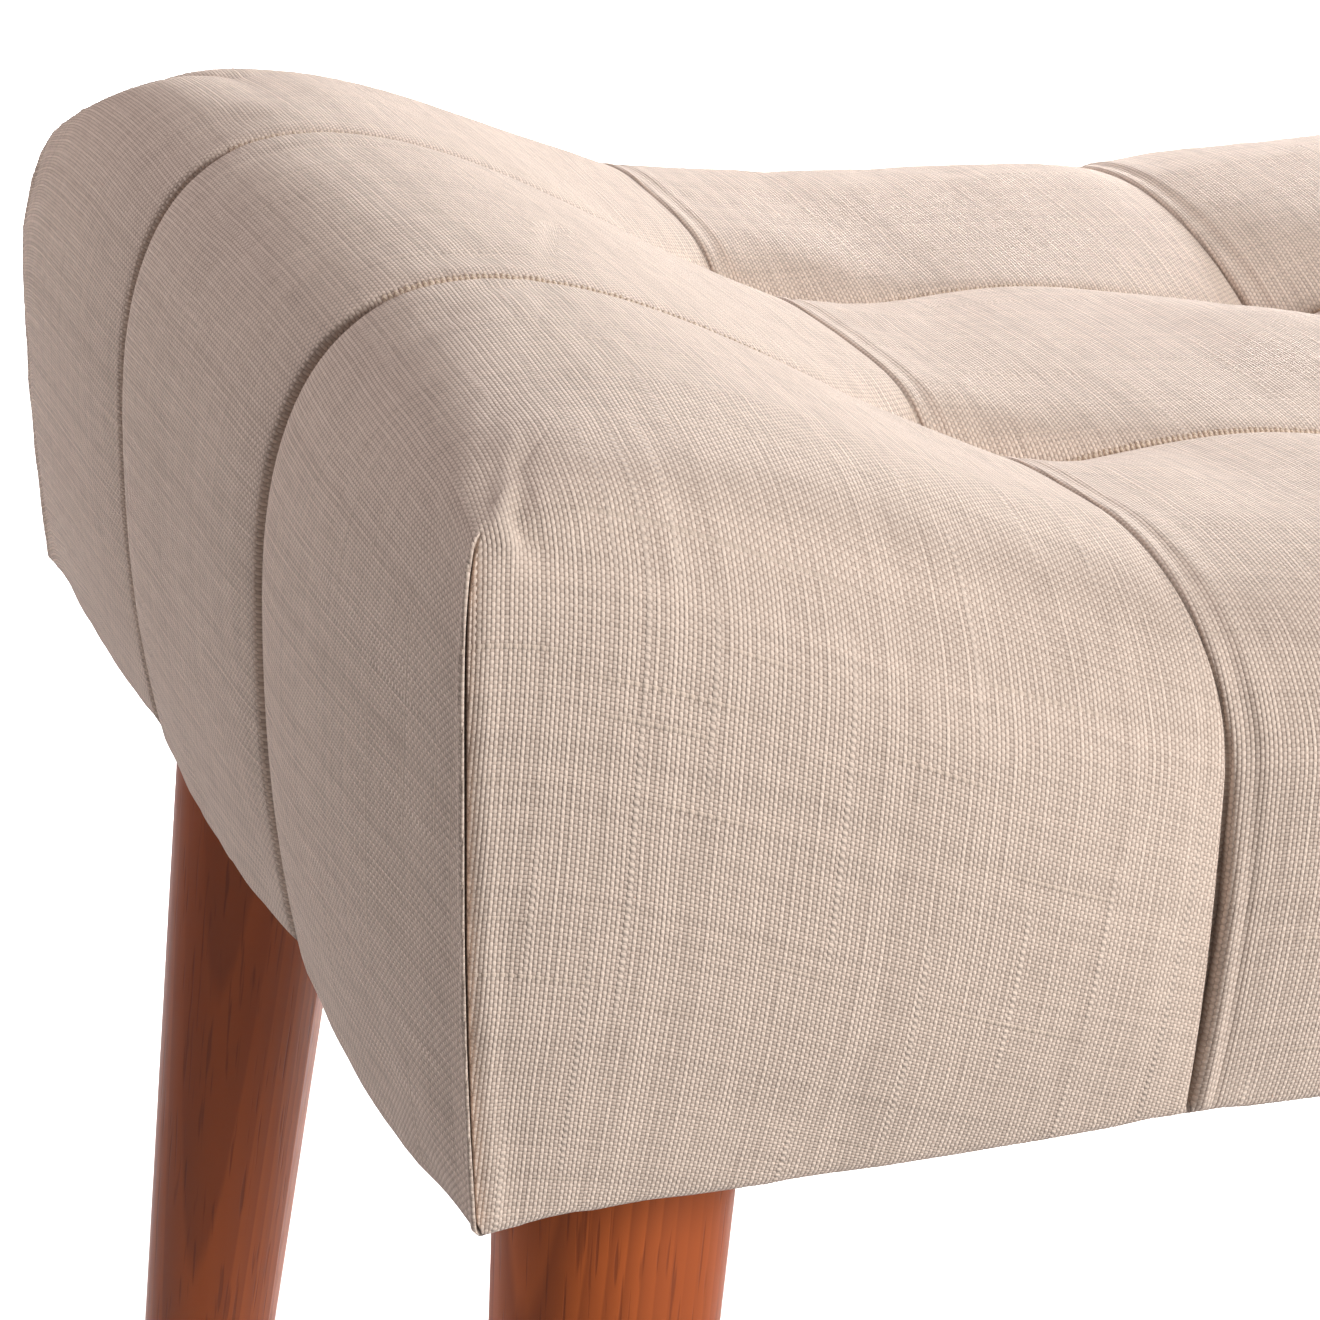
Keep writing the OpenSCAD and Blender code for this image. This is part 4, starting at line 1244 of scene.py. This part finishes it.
def make_hard(name, pale, dark, roughness, metallic, scale, relief_mm):
    """A hard, slightly mottled surface: zinc plate or moulded plastic."""
    material, n, shader = new_material(name)
    place = n.place()
    mottle = n.noise(place, scale, 3.0)
    colour = n.mix(n.ramp(mottle, 0.35, 0.65), dark, pale)
    worn = n.ramp(mottle, 0.3, 0.7, roughness - 0.07, roughness + 0.1)
    n.fill(shader, {"Base Color": colour, "Roughness": worn, "Metallic": metallic})
    n.relief(shader, n.noise(place, scale * 4, 2.0), relief_mm, 0.6)
    return material


def make_twine(name):
    """Three strands twisted round each tie; the ties stand on the crossings of the seams."""
    material, n, shader = new_material(name)
    place = n.place()
    x, y, z = n.split(place)
    pitch_x, pitch_y = col_w * MM, row_w * MM / 2
    near_x = n.sub(x, n.mul(n.math("ROUND", n.div(x, pitch_x)), pitch_x))
    near_y = n.sub(n.math("ABSOLUTE", y), pitch_y)
    turn = n.math("ARCTAN2", near_y, near_x)
    strand = n.fma(n.sine(n.fma(turn, 3.0, n.mul(z, 2 * math.pi / twine_lay))), 0.5, 0.5)
    height = n.fma(n.noise(place, 3000.0, 2.0), 0.3, strand)
    # Painted shade: darker between the strands.
    colour = n.mix(strand, (0.42, 0.33, 0.22, 1), (0.80, 0.72, 0.55, 1))
    n.fill(shader, {"Base Color": colour, "Roughness": 0.85})
    n.relief(shader, height, 0.3)
    return material


zinc = make_hard("zinc_steel", (0.66, 0.67, 0.69, 1), (0.50, 0.51, 0.54, 1), 0.34, 1.0, 700.0, 0.02)
plastic_colours = (0.035, 0.035, 0.037, 1), (0.022, 0.022, 0.024, 1)
glide_plastic = make_hard("glide_plastic", *plastic_colours, 0.5, 0.0, 900.0, 0.03)
metal_words = ("screws", "staples", "bolts", "nuts", "nails", "washers")
for name in nodes:
    if any(word in name for word in metal_words):
        wear(name, zinc)
    elif name.startswith("foot_glide"):
        wear(name, glide_plastic)
wear("tuft_ties", make_twine("tie_twine"))

# %% [markdown]
# Under the cover lie the foam slab, two foam rolls and a sheet of fibre wadding
# over them. They are soft, so the plain solids are dressed too: rounded cut
# edges, a little unevenness, and the open cells or loose fibres of the stuff.

# %% Foam and fibre
def make_soft(name, pale, shade, scale, stretch, relief_mm):
    material, n, shader = new_material(name)
    whole = n.place()
    x, y, z = n.split(whole)
    cells = n.noise(n.vector(x, n.div(y, stretch), z), scale, 3.0, 0.65)
    height = n.fma(n.noise(whole, scale / 12, 2.0), 0.8, cells)
    # Painted shade: the hollows of the cells are darker, towards the shade colour.
    colour = n.mix(n.ramp(height, 0.6, 1.1), shade, pale)
    n.fill(shader, {"Base Color": colour, "Roughness": 0.95, "Specular IOR Level": 0.15})
    n.relief(shader, height, relief_mm)
    return material


foam = make_soft("open_cell_foam", (0.86, 0.80, 0.62, 1), (0.55, 0.48, 0.32, 1), 900.0, 1.0, 0.5)
fibre = make_soft("fibre_wadding", (0.90, 0.90, 0.88, 1), (0.70, 0.70, 0.68, 1), 1400.0, 9.0, 0.7)
chance = np.random.default_rng(41)


def uneven(rows_n, cols_n, cell):
    """Smooth unevenness from 0 to 1 over a grid, its lumps about cell lines wide."""
    coarse = chance.random((rows_n // cell + 2, cols_n // cell + 2))
    for count in (rows_n, cols_n):
        at, known = np.arange(count) / cell, np.arange(len(coarse))
        coarse = np.array([np.interp(at, known, line) for line in coarse.T])
    return coarse


def finish_piece(name, points, faces, material):
    """A closed, smooth mesh from points in millimetres, put in the scene."""
    mesh = bpy.data.meshes.new(name)
    mesh.from_pydata((np.asarray(points) * MM).tolist(), [], [list(map(int, f)) for f in faces])
    bm = bmesh.new()
    bm.from_mesh(mesh)
    finish_mesh(bm, mesh)
    mesh.materials.append(material)
    mesh.shade_smooth()
    return put_in_scene(name, mesh)


def tube_faces(count, size):
    """Faces between equal closed sections, one after another."""
    faces = []
    for k in range(count - 1):
        for n in range(size):
            m = (n + 1) % size
            faces.append((k * size + n, k * size + m, (k + 1) * size + m, (k + 1) * size + n))
    return faces


# %% The foam rolls
cut_edge = [(0.0, 1.6), (0.5, 0.5), (1.8, 0.0)]
roll_turns, roll_base, roll_sections = 41, 14, 56
dent_mm = 0.25


def build_roll(side):
    """A D-shaped roll, its ends a little rounded and its top not quite true."""
    middle, half = (roll_low.x + roll_high.x) / 2, (roll_high.x - roll_low.x) / 2
    rise, length = roll_high.z - roll_low.z, roll_high.y - roll_low.y
    places = cut_edge + [(t, 0.0) for t in np.linspace(8, length - 8, roll_sections)]
    places += [(length - t, inset) for t, inset in reversed(cut_edge)]
    turns = np.radians(np.linspace(0, 180, roll_turns))
    c, s = np.cos(turns), np.sin(turns)
    out_x = np.sign(c) * np.abs(c) ** (2 / roll_square)
    out_z = np.maximum(s, 0) ** (2 / roll_square)
    dents = uneven(len(places), len(turns), 7)
    sections = []
    for (t, inset), dent in zip(places, dents):
        pull = inset + dent_mm * dent * (s > 0.05)
        x = side * middle + (half - pull) * out_x
        z = roll_low.z + np.maximum((rise - pull) * out_z, inset * (out_z < 0.05))
        arc = np.stack([x, np.full_like(x, roll_low.y + t), z], -1)
        base_x = np.linspace(x[-1], x[0], roll_base + 2)[1:-1]
        level = [np.full(roll_base, roll_low.y + t), np.full(roll_base, roll_low.z + inset)]
        sections.append(np.concatenate([arc, np.stack([base_x, *level], -1)]))
    count, size = len(sections), len(sections[0])
    caps = [tuple(range(size)), tuple((count - 1) * size + n for n in reversed(range(size)))]
    return np.concatenate(sections), tube_faces(count, size) + caps


for side, word in ((-1, "left"), (1, "right")):
    roll = finish_piece(f"end_roll_{word}", *build_roll(side), foam)
    dress(roll, f"foam_roll_{word}")

# %% The foam slab
slab_edge = [(0.0, 1.8), (0.5, 0.5), (1.8, 0.0)]
slab_corner_r, tie_hole_r = 4.0, 2.5


def round_rectangle(half_x, half_y, radius):
    """Points round a rectangle with rounded corners, always the same number."""
    points = []
    for sx, sy, start in ((1, 1, 0), (-1, 1, 90), (-1, -1, 180), (1, -1, 270)):
        for step in np.radians(np.linspace(start, start + 90, 7)):
            x = sx * (half_x - radius) + radius * math.cos(step)
            points.append((x, sy * (half_y - radius) + radius * math.sin(step)))
    sides = []
    for first, last in zip(points, points[1:] + points[:1]):
        steps = 36 if math.dist(first, last) > 50 else 1
        sides += [tuple(np.array(first) + (np.array(last) - first) * n / steps) for n in range(steps)]
    return sides


def build_slab():
    """A slab with softened cut edges and a hole for each tie."""
    low, high = (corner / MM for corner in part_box("foam_slab"))
    heights = [(low.z + up, inset) for up, inset in slab_edge]
    heights += [(high.z - up, inset) for up, inset in reversed(slab_edge)]
    bm = bmesh.new()
    rims = []

    def wall(loop_at):
        levels = []
        for z, inset in heights:
            levels.append([bm.verts.new((x * MM, y * MM, z * MM)) for x, y in loop_at(inset)])
        for below, above in zip(levels[:-1], levels[1:]):
            for n in range(len(below)):
                m = (n + 1) % len(below)
                bm.faces.new((below[n], below[m], above[m], above[n]))
        rims.append((levels[0], levels[-1]))

    def hole_at(x, y):
        turns = np.radians(np.arange(0, 360, 18))

        def loop(inset):
            radius = tie_hole_r + inset / 3
            return [(x + radius * math.cos(t), y + radius * math.sin(t)) for t in turns]

        return loop

    wall(lambda inset: round_rectangle(high.x - inset, high.y - inset, slab_corner_r))
    for x in (-col_w, 0.0, col_w):
        for y in (-row_w / 2, row_w / 2):
            wall(hole_at(x, y))
    for end in (0, 1):
        edges = []
        for rim in rims:
            ring = rim[end]
            edges += [bm.edges.get((ring[n], ring[(n + 1) % len(ring)])) for n in range(len(ring))]
        bmesh.ops.triangle_fill(bm, edges=edges, use_beauty=True, use_dissolve=False)
    mesh = bpy.data.meshes.new("flat_foam")
    finish_mesh(bm, mesh)
    mesh.materials.append(foam)
    return put_in_scene("flat_foam", mesh)


dress(build_slab(), "foam_slab")

# %% The wadding
wadding_step, wadding_rows = 5, 71
lofts, ragged_mm, ragged_turn = ((5, 0.5), (2, 0.25)), 0.6, 1.7


def build_wadding():
    """A loose fibre sheet over both rolls and down the slab's ends, cut straight at front and back."""
    lines = []
    for grow in (wadding_t + pocket_gap, pocket_gap):
        line = bed_profile(grow)
        lines.append([(line[0][0], wadding_low.z)] + line + [(line[-1][0], wadding_low.z)])
    gaps = [math.dist(a, b) for a, b in zip(lines[0][:-1], lines[0][1:])]
    counts = [max(int(gap / wadding_step), 1) for gap in gaps]

    def fine(line):
        points = [np.array(line[0])]
        for a, b, count in zip(line[:-1], line[1:], counts):
            points += [np.array(a) + (np.array(b) - a) * (n + 1) / count for n in range(count)]
        return np.array(points)

    top, under = fine(lines[0]), fine(lines[1])
    places = np.linspace(wadding_low.y, wadding_high.y, wadding_rows)
    loft = sum(uneven(len(places), len(top), cell) * high for cell, high in lofts)
    inward = (under - top) / np.linalg.norm(under - top, axis=1, keepdims=True)
    sections = []
    for y, sink in zip(places, loft):
        ragged = ragged_mm * np.sin(np.arange(len(top)) * ragged_turn)
        ragged = ragged * (y in (places[0], places[-1]))
        line = np.concatenate([top + inward * sink[:, None], under[::-1]])
        shift = np.concatenate([ragged, ragged[::-1]]) * (-np.sign(y) if abs(y) > 1 else 0)
        inside = np.where(np.sign(y) * shift > 0, 0, shift)
        sections.append(np.stack([line[:, 0], y + inside, line[:, 1]], -1))
    count, size = len(sections), len(sections[0])
    faces = tube_faces(count, size)
    for n in range(len(top) - 1):
        for base in (0, (count - 1) * size):
            faces.append((base + n, base + n + 1, base + size - 2 - n, base + size - 1 - n))
    return np.concatenate(sections), faces


dress(finish_piece("fibre_sheet", *build_wadding(), fibre), "wadding")

# %% [markdown]
# The dust cover is a thin black cloth, stapled taut under the frame with its
# edges folded under. It has a hole for each leg bolt, sags a little in the
# middle and puckers between its staples.

# %% The dust cover
dust_low, dust_high = (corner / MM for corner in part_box("dust_cover"))
leg_in_x, leg_in_y = 50.5, 60.5
bolt_hole_r, hole_reach = 4.3, 2.2
fold_w, cloth_t = 12.0, 0.4
count_x, count_y = 143, 93
dust_sag, sag_from, sag_over = 1.6, 45, 60
pucker_mm, pucker_pitch, pucker_in, pucker_w = 0.12, 44.4, 20, 9
leg_flat, leg_flat_over = 28, 15


def build_dust_sheet():
    """Two skins of a grid 4 mm wide, joined round the rim and round the bolt holes."""
    xs = np.linspace(dust_low.x, dust_high.x, count_x + 1)
    ys = np.linspace(dust_low.y, dust_high.y, count_y + 1)
    x, y = np.meshgrid(xs, ys, indexing="ij")
    to_rim = np.minimum(dust_high.x - np.abs(x), dust_high.y - np.abs(y))
    inner = eased(np.clip((to_rim - sag_from) / sag_over, 0, 1))
    lumps = uneven(count_x + 1, count_y + 1, 9)
    sag = dust_sag * inner * (0.6 + 0.8 * lumps)
    thick = np.where(to_rim < fold_w, 2 * cloth_t, cloth_t)
    ruffle = 1 + np.cos((x + y) * 2 * math.pi / pucker_pitch)
    pucker = pucker_mm * hill(to_rim, pucker_in, pucker_w) * ruffle
    hole_x, hole_y = half_l - leg_in_x, half_w - leg_in_y
    near_hole = np.hypot(np.abs(x) - hole_x, np.abs(y) - hole_y)
    off_leg = np.clip((near_hole - leg_flat) / leg_flat_over, 0, 1)
    top = dust_high.z - (sag + pucker) * off_leg
    centre_x, centre_y = hole_x * np.sign(x), hole_y * np.sign(y)
    ring = (near_hole > 1e-6) & (near_hole < bolt_hole_r + hole_reach)
    scale = np.where(ring, bolt_hole_r / np.maximum(near_hole, 1e-6), 1.0)
    x = np.where(ring, centre_x + (x - centre_x) * scale, x)
    y = np.where(ring, centre_y + (y - centre_y) * scale, y)
    total = (count_x + 1) * (count_y + 1)
    points = np.concatenate([np.stack([x, y, z], -1).reshape(-1, 3) for z in (top, top - thick)])
    in_ring, faces, used = ring.ravel(), [], {}
    for i in range(count_x):
        for j in range(count_y):
            near, far = i * (count_y + 1) + j, (i + 1) * (count_y + 1) + j
            cell = [near, far, far + 1, near + 1]
            if all(in_ring[c] for c in cell):
                continue
            faces += [tuple(cell), tuple(total + c for c in reversed(cell))]
            used.update(dict.fromkeys(zip(cell, cell[1:] + cell[:1])))
    faces += [(b, a, total + a, total + b) for a, b in used if (b, a) not in used]
    return points, faces


black_warp, black_weft = (0.024, 0.024, 0.026, 1), (0.016, 0.016, 0.018, 1)
black_slub, black_shade = (0.022, 0.022, 0.024, 1), (0.005, 0.005, 0.006, 1)
black_cloth = make_cloth(
    "black_cambric", black_warp, black_weft, black_slub, black_shade, pitches=(0.55, 0.6), slubs=0.25
)
dust_sheet = finish_piece("dust_sheet", *build_dust_sheet(), black_cloth)
dust_uv = dust_sheet.data.uv_layers.new(name="cloth")
loop_points = np.zeros(len(dust_sheet.data.loops), np.int32)
dust_sheet.data.loops.foreach_get("vertex_index", loop_points)
dust_places = np.array([v.co[:2] for v in dust_sheet.data.vertices])[loop_points] / MM * DM
dust_uv.data.foreach_set("uv", dust_places.astype(np.float32).ravel())
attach(dust_sheet, "root")
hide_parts("dust_cover")

# %% [markdown]
# The photograph was taken with a long lens close above the seat's left front
# corner, against a white ground. The camera's place is given from the seat's
# left front lower corner, its turn, tilt and roll in degrees.

# %% The camera
camera_from_corner = Vector((-201.3, -658.2, 380.6))
turn, tilt, roll = (math.radians(d) for d in (19.784, 20.996, 0.9455))
focal, film_w = 111.54, 36


def add_camera():
    place = (camera_from_corner + Vector((-half_l, -half_w, seat_lift))) * MM
    ahead = Vector((math.sin(turn) * math.cos(tilt), math.cos(turn) * math.cos(tilt), -math.sin(tilt)))
    level = Vector((math.cos(turn), -math.sin(turn), 0))
    above = level.cross(ahead)
    right = level * math.cos(roll) + above * math.sin(roll)
    up = above * math.cos(roll) - level * math.sin(roll)
    data = bpy.data.cameras.new("camera")
    data.lens, data.sensor_width = focal, film_w
    camera = put_in_scene("camera", data)
    basis = Matrix((right, up, -ahead)).transposed().to_4x4()
    camera.matrix_world = Matrix.Translation(place) @ basis
    bpy.context.scene.camera = camera


add_camera()

# %% The floor and the light
def add_floor():
    mesh = bpy.data.meshes.new("floor")
    bm = bmesh.new()
    bmesh.ops.create_grid(bm, x_segments=2, y_segments=2, size=6.0)
    bm.to_mesh(mesh)
    bm.free()
    white, n, shader = new_material("floor_white")
    speck = n.noise(n.place(), 40.0, 3.0)
    colour = n.mix(speck, (0.45, 0.45, 0.45, 1), (0.47, 0.47, 0.47, 1))
    n.fill(shader, {"Base Color": colour, "Roughness": 0.9})
    mesh.materials.append(white)
    put_in_scene("floor", mesh)


def add_area(name, place, target, size, power, spread=180, colour=(1, 1, 1)):
    data = bpy.data.lights.new(name, "AREA")
    data.shape, data.size, data.energy, data.color = "DISK", size, power, colour
    data.spread = math.radians(spread)
    aim = (Vector(target) - Vector(place)).to_track_quat("-Z", "Y")
    light = put_in_scene(name, data)
    light.matrix_world = Matrix.Translation(Vector(place)) @ aim.to_matrix().to_4x4()


add_floor()
seat_middle = (0, 0, 0.35)
add_area("key", (1.4, -2.1, 1.45), seat_middle, 1.0, 77)
add_area("fill", (-1.7, 1.5, 1.9), seat_middle, 1.2, 33, colour=(1.0, 0.92, 0.94))
add_area("backdrop_near", (0.5, 1.1, 1.0), (0.25, 0.75, 0.0), 0.4, 17, 60)
add_area("backdrop_far", (0.9, 2.2, 2.3), (0.6, 1.6, 0.0), 0.6, 70, 64)
add_area("under", (1.3, 1.7, 0.75), (0.1, 0.3, 0.0), 0.6, 10, 60)
world = bpy.data.worlds.new("studio")
world.use_nodes = True
Nodes(world.node_tree).fill(
    world.node_tree.nodes["Background"], {"Color": (1.0, 0.94, 0.97, 1), "Strength": 0.13}
)
bpy.context.scene.world = world
bpy.context.scene.view_settings.view_transform = "Standard"
